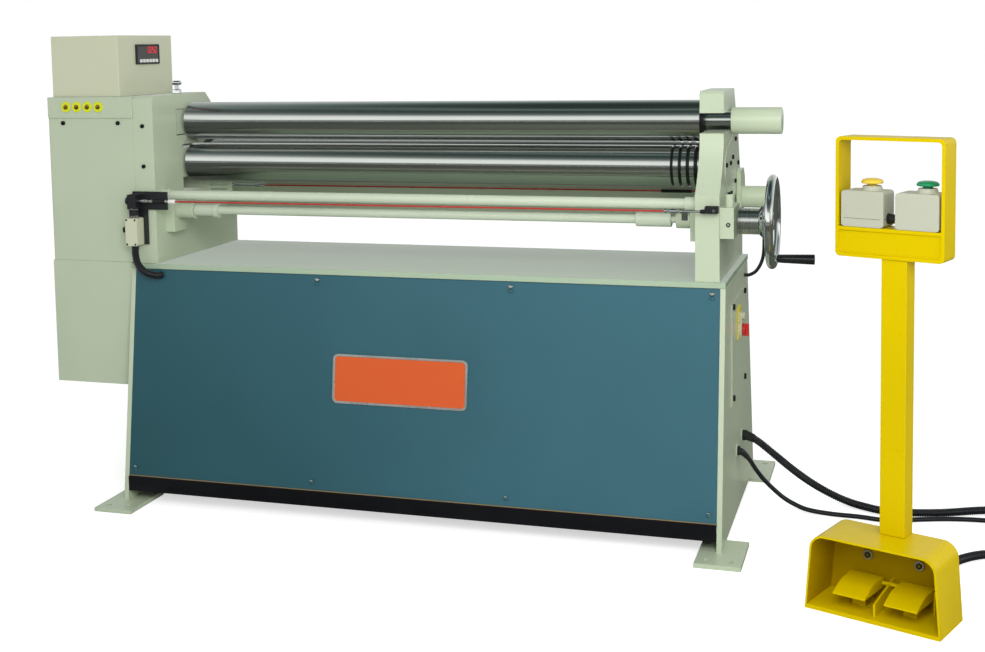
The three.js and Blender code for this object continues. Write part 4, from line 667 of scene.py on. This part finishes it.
def roll_profile(left, right, left_radius, right_radius, grooved):
    points = [(left, 0), (left, left_radius - 1), (left + 1, left_radius), (0, left_radius),
              (0, ROLL_RADIUS - EDGE), (0.6, ROLL_RADIUS - 0.6), (EDGE, ROLL_RADIUS)]
    if grooved:
        for place, width in reversed(GROOVES):
            middle = ROLL_LONG - place
            for i in range(9):
                across = -1 + i / 4
                points.append((middle + across * width / 2,
                               ROLL_RADIUS - GROOVE_DEEP * math.sqrt(1 - across ** 2)))
    points += [(ROLL_LONG - EDGE, ROLL_RADIUS), (ROLL_LONG - 0.6, ROLL_RADIUS - 0.6),
               (ROLL_LONG, ROLL_RADIUS - EDGE), (ROLL_LONG, right_radius),
               (right - 1, right_radius), (right, right_radius - 1), (right, 0)]
    return points


def make_rolls():
    rows = [("top_roll", "upper_roll", -153.3, 1710.7, 30, 25, False, (0, TOP_Z)),
            ("bottom_roll", "lower_roll", -329.7, 1643.7, 30, 30, True, (0, LOW_Z)),
            ("rear_roll", "back_roll", -70.7, 1643.7, 25, 25, True, (REAR_Y, REAR_Z))]
    for node, name, left, right, left_radius, right_radius, grooved, centre in rows:
        profile = roll_profile(left, right, left_radius, right_radius, grooved)
        Form().turn(profile, centre, sides=128).make(
            name, dark_steel if node == "rear_roll" else steel, (node,))
    for node, centre in (("bottom_roll", (0, LOW_Z)), ("rear_roll", (REAR_Y, REAR_Z))):
        # Dark rings in the grooves of the lower and rear rolls: painted shade in the grooves.
        rings = Form()
        for place, width in GROOVES:
            middle, low, high = ROLL_LONG - place, ROLL_RADIUS - 3.6, ROLL_RADIUS - 2.2
            rings.turn([(middle - width * 0.4, low), (middle - width * 0.4, high),
                        (middle + width * 0.4, high), (middle + width * 0.4, low)], centre,
                       sides=128, ring=True)
        rings.make(f"{node}_groove_painted_shade", black_steel, slot="polished_steel", body=body_of(node))
    tube = [(1711, 0), (1711, 25.6), (1652.9, 25.6), (1651.5, 27), (1651.5, 35), (1653, 36.5),
            (1784, 36.5), (1786, 35.8), (1787, 33.5), (1787, 0)]
    Form().turn(tube, (0, TOP_Z), sides=96).make("swing_handle", cream, ("swing_handle_tube",))


make_rolls()


# Frames, housings and stand, from their solids
PLAIN = [  # material, rounding of the edges in millimetres, nodes
    (cream, 1.5, "stand_left_side stand_right_side left_frame right_frame motor_housing"),
    (cream, 1, "swing_block swing_pivot_bracket pinch_block_left pinch_block_right"),
    (cream, 0.8, "bearing_cover rear_guard access_cover"),
    (cream, 0.6, "rear_panel"),
    (table_cream_shaded, 1.5, "table_plate"),
    (cream_box_lit, 1.8, "electrics_box"),
    (cream_box_lit, 1.5, "limit_switch_box"),
    (teal, 0.6, "front_panel"),
    (channel_black_shaded, 1, "front_channel"),
    (black_plastic, 0.8, "display_unit"),
    (black_paint, 0.8, "pull_switch"),
    (iron, 1, "rear_block_left rear_block_right drive_motor"),
    (iron, 1.5, "gear_reducer"),
    (yellow, 1, "pedal_left pedal_right"),
    (yellow, 1.2, "pedestal_head"),
    (yellow, 1.5, "pedestal_hood"),
    (yellow, 2.5, "pedestal_post"),
    (grey_box, 0.8, "button_box_left button_box_right"),
]
for material, bevel, nodes in PLAIN:
    for node in nodes.split():
        dress(node, material, bevel)
for node in ("top_roll_gear", "bottom_roll_gear"):
    finish_node(node, iron)


HOUSING_FRONT, STRIP = -222, 4


def make_gear_housing():
    """A sheet housing whose back slants down like the back of the left frame."""
    x, front, back, low, top, wall = (-360, -73.3), HOUSING_FRONT, 285, 706, 1197, 2
    slant = [(97, top), (128.5, 1170), (back, 948)]
    walls = Form().prism([(front, low), (back, low), *reversed(slant), (front, top)],
                         (x[0], x[0] + wall))
    walls.box(x, (front, slant[0][0]), (top - wall, top))
    walls.box(x, (back - wall, back), (low, slant[2][1]))
    walls.box(x, (front, front + wall), (low, top))
    walls.box(x, (front - STRIP, front + wall), (1135, top))  # the nipples' strip
    for (y0, z0), (y1, z1) in zip(slant, slant[1:]):
        walls.prism([(y0, z0), (y1, z1), (y1 - 2, z1 - 0.5), (y0 - 1.2, z0 - 2)], x)
    walls.make("gear_guard", cream, ("gear_housing",), bevel=0.7)


make_gear_housing()


def hide_from_reflections():
    """The rolls and the handwheel mirror the room, and not the frames and housings."""
    for name in ("left_frame_skin", "gear_guard", "motor_housing_skin", "electrics_box_skin",
                 "swing_block_skin", "pinch_block_left_skin", "right_frame_skin",
                 "bearing_cover_skin", "rear_guard_skin"):
        bpy.data.objects[name].visible_glossy = False


hide_from_reflections()


HOOD_BACK = 135


def shade_hood():
    """The inside of the hood, where less light falls, gets the shaded enamel."""
    hood = bpy.data.objects["pedestal_hood_skin"]
    hood.data.materials.append(yellow_inside)
    right = (on_stand(1, 0, 0) - on_stand(0, 0, 0)).normalized()
    back = (on_stand(0, 1, 0) - on_stand(0, 0, 0)).normalized()
    for face in hood.data.polygons:
        place = face.center - on_stand(0, 0, 0)
        a, b = place.dot(right) / MM, place.dot(back) / MM
        facing_a, facing_b = face.normal.dot(right), face.normal.dot(back)
        inner_wall = b > HOOD_BACK - 5 and facing_b < -0.5
        within = 1 < b < HOOD_BACK
        inner_side = within and facing_a * a < 0 and abs(facing_a) > 0.3 and abs(a) > 40
        inner_top = within and face.normal.z < -0.3 and place.z > 0.1
        if inner_wall or inner_side or inner_top:
            face.material_index = 1


shade_hood()


# Turned pieces
CROSS = CROSS_Y, CROSS_Z = -130, 855
FRONT_WIRE = WIRE_Y, WIRE_Z = -245, 892
BACK_WIRE, TIE_BAR = (250, 891), (-165, 903)
WIRE_RADIUS, FERRULE_BORE = 2.5, 2.4
BAR_LEFT, BAR_RIGHT = -7.7, 1581.7  # ends of the tie bar and of the rear wire
CRANK = (CROSS_Y, CROSS_Z - 98)
RESET_Z = 806
LOCK_KNOB_PLACE = (-40, -19)  # X and Y
FEED_Y, FEED_Z = 162, 887.6


def turned(name, material, profile, centre, replaces=(), axis="x", sides=32, ring=False, **how):
    """A piece that is turned in one go."""
    return Form().turn(profile, centre, axis, sides, ring).make(name, material, replaces, **how)


def make_rods():
    """The cross shaft and the tie bar, with their collars and sleeves."""
    shaft = [(6.3, 0), (6.3, 15), (76.3, 15), (76.3, 18), (77.3, 19), (138.3, 19), (138.3, 22),
             (139.3, 23), (152.3, 23), (153.3, 22), (153.3, 12.5), (1410, 12.5), (1410, 19),
             (1411, 20), (1505, 20), (1506, 19), (1506, 9), (1776.3, 9), (1776.3, 0)]
    turned("cross_rod", cream_metal, shaft, CROSS, ("cross_shaft",), sides=48)
    bar = [(BAR_LEFT, 0), (BAR_LEFT, 18), (8.3, 18), (9.3, 17), (9.3, 14), (1547.7, 14),
           (1547.7, 17), (1548.7, 18), (BAR_RIGHT, 18), (BAR_RIGHT, 0)]
    turned("tie_rod", cream_metal, bar, TIE_BAR, ("tie_bar",), sides=48)


def make_scale_collar():
    """The graduated collar, with a longer mark at each fifth and tenth place."""
    collar = [(1686.2, 9.6), (1740, 9.6), (1740, 34), (1739, 35), (1718.6, 35), (1718.2, 33),
              (1716.6, 33), (1716.2, 35), (1687, 35), (1686.2, 34)]
    turned("scale_collar", worn_steel, collar, CROSS, ("graduated_collar",), sides=72, ring=True)
    marks = Form()
    for k in range(80):
        angle = 2 * math.pi * k / 80
        long = 9 if k % 10 == 0 else 6.5 if k % 5 == 0 else 4.5
        c, s = math.cos(angle), math.sin(angle)
        spots = []
        for x in (1688.5, 1688.5 + long):
            for radial, side in ((34.8, -0.35), (35.12, -0.35), (35.12, 0.35), (34.8, 0.35)):
                spots.append((x, CROSS_Y + radial * c - side * s, CROSS_Z + radial * s + side * c))
        marks.gather(spots, [[3, 2, 1, 0], [4, 5, 6, 7], [0, 1, 5, 4], [1, 2, 6, 5],
                           [2, 3, 7, 6], [3, 0, 4, 7]])
    marks.make("scale_marks", mark_black, body="handwheel")


def wire(name, start, end, centre, node):
    profile = [(start, 0), (start, WIRE_RADIUS), (end, WIRE_RADIUS), (end, 0)]
    turned(name, red_wire, profile, centre, (node,), sides=20)


def sleeve(form, profile, centre):
    """A ring around a wire, from a profile of its outside."""
    closed = [(profile[0][0], FERRULE_BORE), *profile, (profile[-1][0], FERRULE_BORE)]
    return form.turn(closed, centre, sides=24, ring=True)


def make_wires():
    """Both trip wires, with their ferrules, tensioner and hook."""
    left, right = BAR_LEFT, BAR_RIGHT
    wire("front_wire", -2.7, 1505.7, FRONT_WIRE, "front_trip_wire")
    wire("back_wire", left, right, BACK_WIRE, "rear_trip_wire")
    ends = Form()
    sleeve(ends, [(38, 4.4), (39, 5), (42, 5), (44, 3)], FRONT_WIRE)
    sleeve(ends, [(left, 7), (left + 7, 7), (left + 14, 3)], BACK_WIRE)
    sleeve(ends, [(6, 3.2), (80, 3.2), (81, 5.6), (86, 6), (108, 6), (113, 3)], BACK_WIRE)
    sleeve(ends, [(right - 14, 3), (right - 7, 7), (right, 7)], BACK_WIRE)
    ends.make("wire_ferrules", chrome, slot="polished_steel")
    sleeve(Form(), [(48, 5.6), (49, 6.2), (69, 6.2), (70, 5.6)], FRONT_WIRE).make(
        "white_ferrule", key_white)
    bars = [left + share * (right - left) for share in (0.893, 0.95)]
    sleeve(Form(), [(bar, 5) for bar in bars], BACK_WIRE).make("wire_bar", black_steel)
    buckle = [(1504, 0), (1504, 3.4), (1506, 5.8), (1512, 5.8), (1513, 3.8), (1519, 3.8),
              (1520, 6), (1540, 6), (1541, 3.8), (1546, 3.8), (1547, 5.8), (1552, 5.8),
              (1552, 3), (1600, 3), (1600, 0)]
    Form().turn(buckle, FRONT_WIRE, sides=32).box(
        (1551, 1567), (WIRE_Y - 2.5, WIRE_Y + 2.5), (WIRE_Z - 24, WIRE_Z)).make(
        "turnbuckle", chrome, ("wire_tensioner",), bevel=0.4, slot="polished_steel")
    Form().box((1611, 1645), (WIRE_Y - 3, -222.1), (WIRE_Z - 5, WIRE_Z + 13)).turn(
        [(1599, 0), (1599, 5), (1612, 6), (1612, 0)], FRONT_WIRE, sides=24).make(
        "wire_hook", black_plastic, bevel=1, slot="black_paint")
    screw = [(WIRE_Y - 2, 0), (WIRE_Y - 2, 5), (WIRE_Y - 5, 4), (WIRE_Y - 5, 0)]
    turned("hook_screw", zinc, screw, (1635, WIRE_Z + 3), axis="y", sides=24)


def make_switch_pieces():
    """What moves in the pull switch and in the limit switch box."""
    rod = [(-68, 0), (-68, 5.5), (-19, 5.5), (-19, 3.5), (-11, 3.5), (-11, 5), (-3, 5), (-3, 0)]
    turned("pull_rod", worn_steel, rod, FRONT_WIRE, ("pull_plunger",))
    knob = [(-103.3, 0), (-103.3, 7.6), (-102.2, 8.6), (-101, 9), (-90, 9), (-87.3, 8.2),
            (-87.3, 4), (-77.8, 4), (-77.8, 0)]
    turned("reset_button", black_plastic, knob, (WIRE_Y, RESET_Z), ("reset_knob",))


def make_feed_drive():
    """The rear roll's feed motor on its housing."""
    motor = [(1660, 0), (1660, 31), (1746, 31), (1749, 30), (1750.6, 27.5), (1750.6, 0)]
    Form().turn(motor, (FEED_Y, FEED_Z), sides=64).prism(
        [(110, 851.6), (218, 851.6), (218, 940.6), (190, 968.6), (110, 968.6)],
        (1649.6, 1661.6)).make("feed_drive", cream, ("feed_motor",), bevel=1.2)


def make_lock_knob():
    knob = [(1152.6, 0), (1152.6, 6), (1200.3, 6), (1200.3, 14.4), (1201, 15), (1209, 14),
            (1213, 12.4), (1213.4, 8), (1225.6, 8), (1226, 12), (1228, 14), (1232, 15),
            (1236, 14), (1238.6, 11.4), (1239, 0)]
    turned("lock_knob", chrome, knob, LOCK_KNOB_PLACE, ("clamp_knob",), axis="z", sides=48)


def make_wheel():
    rim_x, rim_centre, hub_x = 1773.3, 113.5, (1740.3, 1776.3)
    bell = [(0, 36), (0.5, 37), (3, 39.5), (7, 43), (10, 45.6), (11, 46.6), (11.4, 49.4),
            (12.4, 50.6), (15, 53), (19, 57.6), (22, 61.4), (23, 62.6), (23.4, 65.2),
            (24.4, 66.8), (26, 71), (27, 76), (27.4, 82), (27.4, 94), (27.2, 105.5)]
    profile = [(hub_x[0], 9.6), (hub_x[1], 9.6), (hub_x[1], 22.5), (hub_x[1] - 1.5, 24),
               (hub_x[0] + 7, 24.5), (hub_x[0] + 5, 26), (hub_x[0] + 5, 34)]
    inside = [(0.5, 37), (3, 39.5), (7, 43), (13, 50.6), (19, 57.6), (23, 64), (26, 71),
              (28, 78), (30, 90), (33, 105.5)]
    profile += [(hub_x[0] + 5 + along, radius) for along, radius in inside]
    for i in range(31):
        angle = math.pi * (2 / 6 + (10 / 6 - 2 / 6) * i / 30)
        profile.append((rim_x + 11.5 * math.sin(angle), rim_centre - 11.5 * math.cos(angle)))
    profile += [(hub_x[0] + along, radius) for along, radius in reversed(bell)]
    wheel = Form().turn(profile, CROSS, sides=144, ring=True)
    wheel.turn([(1763, 0), (1763, 10.5), (1783.6, 10.5), (1784.8, 9.4), (1784.8, 0)],
               CRANK, sides=32)
    wheel.make("hand_wheel", chrome, ("handwheel",), smooth=40)
    handle = [(1761.8, 0), (1761.8, 5.9), (1785.8, 5.9), (1785.8, 9.6), (1787, 10.6),
              (1800, 11.4), (1830, 12.2), (1860, 13), (1878, 13.5), (1881, 13.4),
              (1881.8, 12.6), (1881.8, 0)]
    turned("crank_grip", black_gloss, handle, CRANK, ("crank_handle",), sides=48)


def make_main_switch():
    Form().prism(rounded((-2, 60), (505, 597), 4), (1665.6, 1668)).make(
        "switch_plate", switch_yellow, ("main_switch_body",), bevel=0.4)
    body = Form().turn([(1667, 0), (1667, 26), (1674, 26), (1676, 24), (1676, 0)], (29, 530))
    body.box((1667, 1675.6), (18, 40), (530, 569))
    body.turn([(1667, 0), (1667, 11), (1681.8, 11), (1682.8, 10), (1682.8, 0)], (29, 569), sides=40)
    body.make("switch_body", grey_box, bevel=0.5)
    knob = Form().turn([(1676.3, 0), (1676.3, 17.5), (1683.3, 17.2), (1684.3, 16), (1684.3, 0)],
                       (29, 530))
    knob.box((1684, 1693.3), (23.5, 34.5), (512.5, 547.5))
    knob.make("switch_knob", red_plastic, ("main_switch_knob",), bevel=1)


make_rods()
make_scale_collar()
make_wires()
make_switch_pieces()
make_feed_drive()
make_lock_knob()
make_wheel()
make_main_switch()


# Push buttons
def make_buttons():
    for side, place, material in (("left", -53, yellow_plastic), ("right", 78, green_plastic)):
        low = 998.3
        cap = [(968, 0), (968, 11), (low, 11), (low, 23.4), (low + 0.8, 24.6), (low + 3, 25),
               (low + 6, 24.4), (low + 9, 21.5), (low + 11, 15), (low + 12, 7), (low + 12, 0)]
        Form(on_stand).turn(cap, (place, 120), axis="z", sides=64).make(
            f"mushroom_{side}", material, (f"push_button_{side}",), smooth=50)


make_buttons()


# Fasteners and small details, each on the solid that carries it
def socket_cap(form, centre, start, out, radius, long, axis="x", hexagon=0.5):
    """A cap screw: knurled head with a round edge and a hexagon socket in its end."""
    sign = 1 if out > 0 else -1
    rim = start + sign * long
    profile = [(start, radius), (rim - sign * 0.8, radius), (rim, radius - 0.8),
               (rim, radius * hexagon), (rim - sign * long * 0.55, radius * hexagon),
               (rim - sign * long * 0.55, 0)]
    form.turn([(start, 0), *profile], centre, axis=axis, sides=24)


COVER_FACE, DOOR_FACE, HOOD_FACE, BOX_FACE = 1649.3, 1665.3, 136.2, -270
WORM_X, WORM_FRONT, WORM_TOP, NIPPLE_Z = 1668, -215, 933, 1168
PANEL_LONG, SCREWS_FROM, LOW_SCREWS, HIGH_SCREWS = 1728.4, -73.7, 25, 596


def make_cap_screws():
    """On the bearing cover, the worm block, the access cover, the left frame and the housing."""
    heads, wide = Form(), 2 * ROLL_RADIUS
    shares = [(-0.96, 0.11), (-0.23, 0.1), (-0.1, -0.63), (0.2, 0.21), (0.73, 0.61),
              (1.24, -0.01), (0.68, -0.41)]
    for y, z in shares:
        socket_cap(heads, (y * wide, LOW_Z + z * wide), COVER_FACE, 1, 6.3, 5)
    socket_cap(heads, (WORM_X, CROSS_Z), WORM_FRONT, -1, 5.3, 4.5, axis="y")
    socket_cap(heads, (WORM_X, -191), WORM_TOP, 1, 5.3, 4.5, axis="z")
    for y in (-92, 164.5):
        for z in (365, 615.5):
            socket_cap(heads, (y, z), DOOR_FACE, 1, 8.3, 5.6)
    for z in (1111, 992):
        socket_cap(heads, (-42, z), HOUSING_FRONT, -1, 6, 5, axis="y")
    for x in (-310, -123.3):
        socket_cap(heads, (x, 1120), HOUSING_FRONT, -1, 6.4, 4.6, axis="y")
    heads.make("cap_screws", black_steel, smooth=40)


def make_hood_bolts():
    washers, sockets, back = Form(on_stand), Form(on_stand), HOOD_FACE - 4.6
    washer = [(HOOD_FACE, 6), (HOOD_FACE, 12.6), (back + 0.8, 12.6), (back, 11.8), (back, 6)]
    for a in (-63, 62):
        washers.turn(washer, (a, 108), axis="y", sides=40, ring=True)
        socket_cap(sockets, (a, 108), HOOD_FACE, -1, 7, 8, axis="y", hexagon=0.55)
    washers.make("hood_washers", zinc)
    sockets.make("hood_bolts", black_plastic, smooth=40, slot="black_paint")


def make_nipples():
    """Grease nipples on the housing's strip, each in a yellow ring."""
    nipples, rings = Form(), Form()
    for x in (-296, -259.5, -223, -186.5):
        rings.turn([(-228.4, 7.6), (-228.4, 15), (-227.6, 15.7), (-225.9, 15.7), (-225.9, 7.6)],
                   (x, NIPPLE_Z), axis="y", sides=40, ring=True)
        nipples.turn([(-225.9, 0), (-225.9, 6.8), (-229.4, 6.8), (-229.6, 4.4), (-232, 4.3),
                      (-233, 3), (-234.4, 3.4), (-235.4, 2.4), (-235.6, 0)], (x, NIPPLE_Z),
                     axis="y", sides=24)
    rings.make("nipple_rings", ring_yellow)
    nipples.make("grease_nipples", brass)


def make_panel_trim():
    """The front panel's screws, and the folded lip along its lower edge."""
    screws, head = Form(on_panel), [(1, 0), (1, 6.4), (2.4, 6.2), (3.4, 5.2), (3.8, 3.2),
                                    (2.2, 3), (2.2, 0)]
    places = [(0.008, LOW_SCREWS)]
    places += [(share, up) for share in (0.335, 0.667, 0.984)
               for up in (LOW_SCREWS, HIGH_SCREWS)]
    for share, up in places:
        screws.turn(head, (SCREWS_FROM + share * PANEL_LONG, up), axis="y", sides=32)
    screws.make("panel_screws", worn_steel)
    Form(on_panel).box((-80, 1647), (0.2, 2), (0.6, 3.2)).make("panel_lip", lip_brown)


def make_small_parts():
    """Screws of the switch box, its metal neck, the sleeve of the wire, seam and gland."""
    neck = [(843.6, 0), (843.6, 14.4), (850, 14.4), (851, 12.6), (866, 12.6), (867, 14.4),
            (872, 14.4), (872, 0)]
    turned("switch_neck", worn_steel, neck, (-64, -250), axis="z", sides=40)
    dots = Form()
    for x, z in ((-79, 838), (-51, 838), (-79, 766), (-51, 766)):
        socket_cap(dots, (x, z), BOX_FACE, -1, 3, 1.4, axis="y")
    dots.make("box_screws", black_steel, smooth=40)
    turned("wire_sleeve", black_plastic,
           [(-2.6, 0), (-2.6, 4.4), (30, 4.4), (37.5, 2.8), (37.5, 0)], FRONT_WIRE, sides=24)
    Form(on_stand).prism(rounded((-115.7, -13.8), (88.3, 154.2), 8), (917.6, 918.3), axis="z").make(
        "box_seam", mark_black)
    Form(on_stand).turn([(-13.8, 0), (-13.8, 12.5), (-9, 12.5), (-8, 10.8), (8, 10.8),
                         (9, 12.5), (13.8, 12.5), (13.8, 0)], (120, 918), sides=32).make(
        "box_gland", black_plastic)


def make_window_painted_shade():
    """Black sheets on the walls of the top roll's window and on the bearing's edge, and a black
    shoulder on the roll's end: painted shade, where these lie in the dark behind the bearing.
    """
    y, z, thin = (-84.9, 74.9), (TOP_Z - 39.9, TOP_Z + 39.9), 0.7
    Form().frame_ring(rectangle(y, z), rectangle(y, z, thin), (-72.5, -9)).make(
        "window_painted_shade", black_paint).visible_glossy = False
    Form().box((-110, -13), (-77, -75.9), (TOP_Z - 37.5, TOP_Z + 37.5)).make(
        "bearing_edge_painted_shade", black_paint, body=body_of("swing_block")).visible_glossy = False
    turned("roll_shoulder_painted_shade", black_steel,
           [(1570.2, 0), (1570.2, 46), (1580.5, 46), (1580.5, 0)], (0, TOP_Z), sides=64,
           slot="polished_steel", body=body_of("top_roll"))


def make_badge():
    """A bare plate: a rounded orange field in a silver rim."""
    u, v, rim, under = (561.5, 962), (251, 390), 7, 6.5
    inner = rounded((u[0] + rim, u[1] - rim), (v[0] + rim, v[1] - rim), 10)
    Form(on_panel).frame_ring(rounded(u, v, 16), inner, (0, 3.4), axis="y").make(
        "plate_rim", silver_plate, bevel=0.8)
    field = rounded((u[0] + under, u[1] - under), (v[0] + under, v[1] - under), 10.4)
    Form(on_panel).prism(field, (0, 2.4), axis="y").make("plate_field", orange_plate, bevel=0.3)


# Lit bars of each numeral in use: a top, b and c right, d bottom, e and f left, g middle
SEGMENTS = {"0": "abcdef", "2": "abged", "5": "afgcd"}


def make_display():
    """A lit number behind a dark window, and a row of keys under it."""
    face_x, low, left, pitch = -111.7, 1326, -58, 13
    wide, high, bar = 9.5, 17, 1.6
    inset = bar * 0.6
    bars = Form()
    for i, numeral in enumerate("0250"):
        y0 = left + i * pitch
        for segment in SEGMENTS[numeral]:
            y = y0 + wide if segment in "bc" else y0
            z = low + {"a": high, "d": 0, "e": 0, "c": 0}.get(segment, high / 2)
            across, up = (y, y + bar), (z + inset, z + high / 2 - inset)
            if segment in "agd":
                across, up = (y + inset, y + wide - inset + bar), (z - bar / 2, z + bar / 2)
            bars.box((face_x - 0.9, face_x - 0.1), across, up)
    bars.make("display_number", digit_red)
    window = Form().prism(rounded((-116.5, 2.5), (1296.8, 1346), 3), (face_x - 3, face_x - 0.9))
    window.make("display_window", glass_black)
    keys = Form()
    for i in range(6):
        y = -106 + i * 18
        keys.prism(rounded((y, y + 14), (1296.5, 1306.5), 2), (face_x - 1.2, face_x + 0.8))
    keys.make("display_keys", key_white, bevel=0.4)


make_cap_screws()
make_hood_bolts()
make_nipples()
make_panel_trim()
make_small_parts()
make_window_painted_shade()
make_badge()
make_display()


# Floor, world and lights
def mix_shader(tree, factor, first, second):
    return add(tree, "MixShader", {"Fac": factor, 1: first, 2: second})["Shader"]


def either(tree, first, second):
    return add(tree, "Math", {0: first, 1: second}, operation="MAXIMUM")["Value"]


def flat_piece(name, half, z, material):
    """A square of the stage, lying flat around the part."""
    mesh = bpy.data.meshes.new(name)
    mesh.from_pydata([(-half, -half, z), (half, -half, z), (half, half, z), (-half, half, z)],
                     [], [(0, 1, 2, 3)])
    mesh.materials.append(material)
    obj = put(name, mesh)
    return obj


FLOOR_GREY, FLOOR_GLOW, FLOOR_HALF = 0.78, 0.6, 60
CARD_HALF, CARD_LIFT = 30, 0.0006


def make_floor():
    """A pale floor, and over it a darker card that only reflections show."""
    material = bpy.data.materials.new("floor_white")
    material.use_nodes = True
    tree = material.node_tree
    tree.nodes.remove(tree.nodes["Principled BSDF"])
    matt = add(tree, "BsdfDiffuse", {"Color": (FLOOR_GREY, FLOOR_GREY, FLOOR_GREY, 1)})["BSDF"]
    glow = add(tree, "Emission", {"Strength": FLOOR_GLOW})["Emission"]
    both = add(tree, "AddShader", {0: matt, 1: glow})["Shader"]
    ray = add(tree, "LightPath")
    seen = either(tree, ray["Is Camera Ray"],
                  either(tree, ray["Is Glossy Ray"], ray["Is Transmission Ray"]))
    feed(tree, tree.nodes["Material Output"], {"Surface": mix_shader(tree, seen, matt, both)})
    flat_piece("floor", FLOOR_HALF, 0, material)
    dark = surface("dark_card", rgb(98, 102, 92), 0.9, vary=0.05)
    card = flat_piece("dark_card", CARD_HALF, CARD_LIFT, dark)
    card.visible_camera = card.visible_diffuse = False
    card.visible_transmission = card.visible_shadow = False


# What the reflections see of the room, from the horizon up: height and brightness
FRONT_BANDS = [(0, 0.12), (0.07, 0.3), (0.14, 1.3), (0.4, 1.15), (0.52, 0.38), (0.62, 0.16),
               (0.78, 0.06), (0.86, 0.1), (0.91, 0.3), (0.95, 0.05), (1, 0.04)]
BACK_BANDS = [(0, 1), (0.1, 0.8), (0.35, 0.66), (0.57, 0.56), (0.75, 0.28), (0.87, 0.12),
              (0.93, 0.05), (1, 0.04)]
LOW_TINT, HIGH_TINT, TINT_FROM = (0.97, 0.97), (0.72, 0.93), 0.6  # red and blue against green


def make_world():
    """White for the camera, an even light, and bands of a room for the reflections."""
    world = bpy.data.worlds.new("studio")
    bpy.context.scene.world = world
    world.use_nodes = True
    tree = world.node_tree
    plain = tree.nodes["Background"]
    feed(tree, plain, {"Color": (0.97, 0.99, 1, 1), "Strength": 0.56})
    white = add(tree, "Background", {"Color": (1, 1, 1, 1), "Strength": 1})["Background"]
    place = add(tree, "TexCoord")["Generated"]
    parts = add(tree, "SeparateXYZ", {"Vector": place})
    ramps = []
    for bands in (FRONT_BANDS, BACK_BANDS):
        stops = []
        for height, value in bands:
            red, blue = HIGH_TINT if height > TINT_FROM else LOW_TINT
            stops.append((height, (value * red, value, value * blue, 1)))
        ramps.append(add_ramp(tree, parts["Z"], stops, "EASE"))
    back = add(tree, "MapRange", {"Value": parts["Y"], "From Min": -0.1, "From Max": 0.1})
    walls = add(tree, "Mix", {MIX_FACTOR: back["Result"], MIX_A: ramps[0], MIX_B: ramps[1]},
                data_type="RGBA")[MIX_RESULT]
    room = add(tree, "Background", {"Color": walls})["Background"]
    ray = add(tree, "LightPath")
    lit = mix_shader(tree, ray["Is Glossy Ray"], plain.outputs["Background"], room)
    seen = either(tree, ray["Is Camera Ray"], ray["Is Transmission Ray"])
    feed(tree, tree.nodes["World Output"], {"Surface": mix_shader(tree, seen, lit, white)})


def place_light(name, data, towards):
    """A light that shines against the way given, and isn't seen in reflections."""
    light = put(name, data)
    light.rotation_mode = "QUATERNION"
    light.rotation_quaternion = towards.to_track_quat("Z", "Y")
    light.visible_glossy = False
    return light


def make_sun(name, towards, strength, colour, wide):
    data = bpy.data.lights.new(name, "SUN")
    data.energy, data.color, data.angle = strength, colour, math.radians(wide)
    place_light(name, data, Vector(towards))


def make_lamp(name, place, aim, power, wide):
    """A soft square lamp near the machine."""
    data = bpy.data.lights.new(name, "AREA")
    data.energy, data.size = power, wide
    place_light(name, data, at(*place) - at(*aim)).location = at(*place)


make_floor()
make_world()
make_lamp("key_light", (2000, -3000, 2100), (900, 0, 800), 70, 1.6)
make_lamp("side_light", (3500, -1500, 1200), (2041, -635, 650), 9, 0.9)
make_sun("fill_light", (0.8, -0.5, 0.35), 0.08, (1, 0.97, 0.9), 40)
bpy.context.scene.view_settings.view_transform = "Standard"
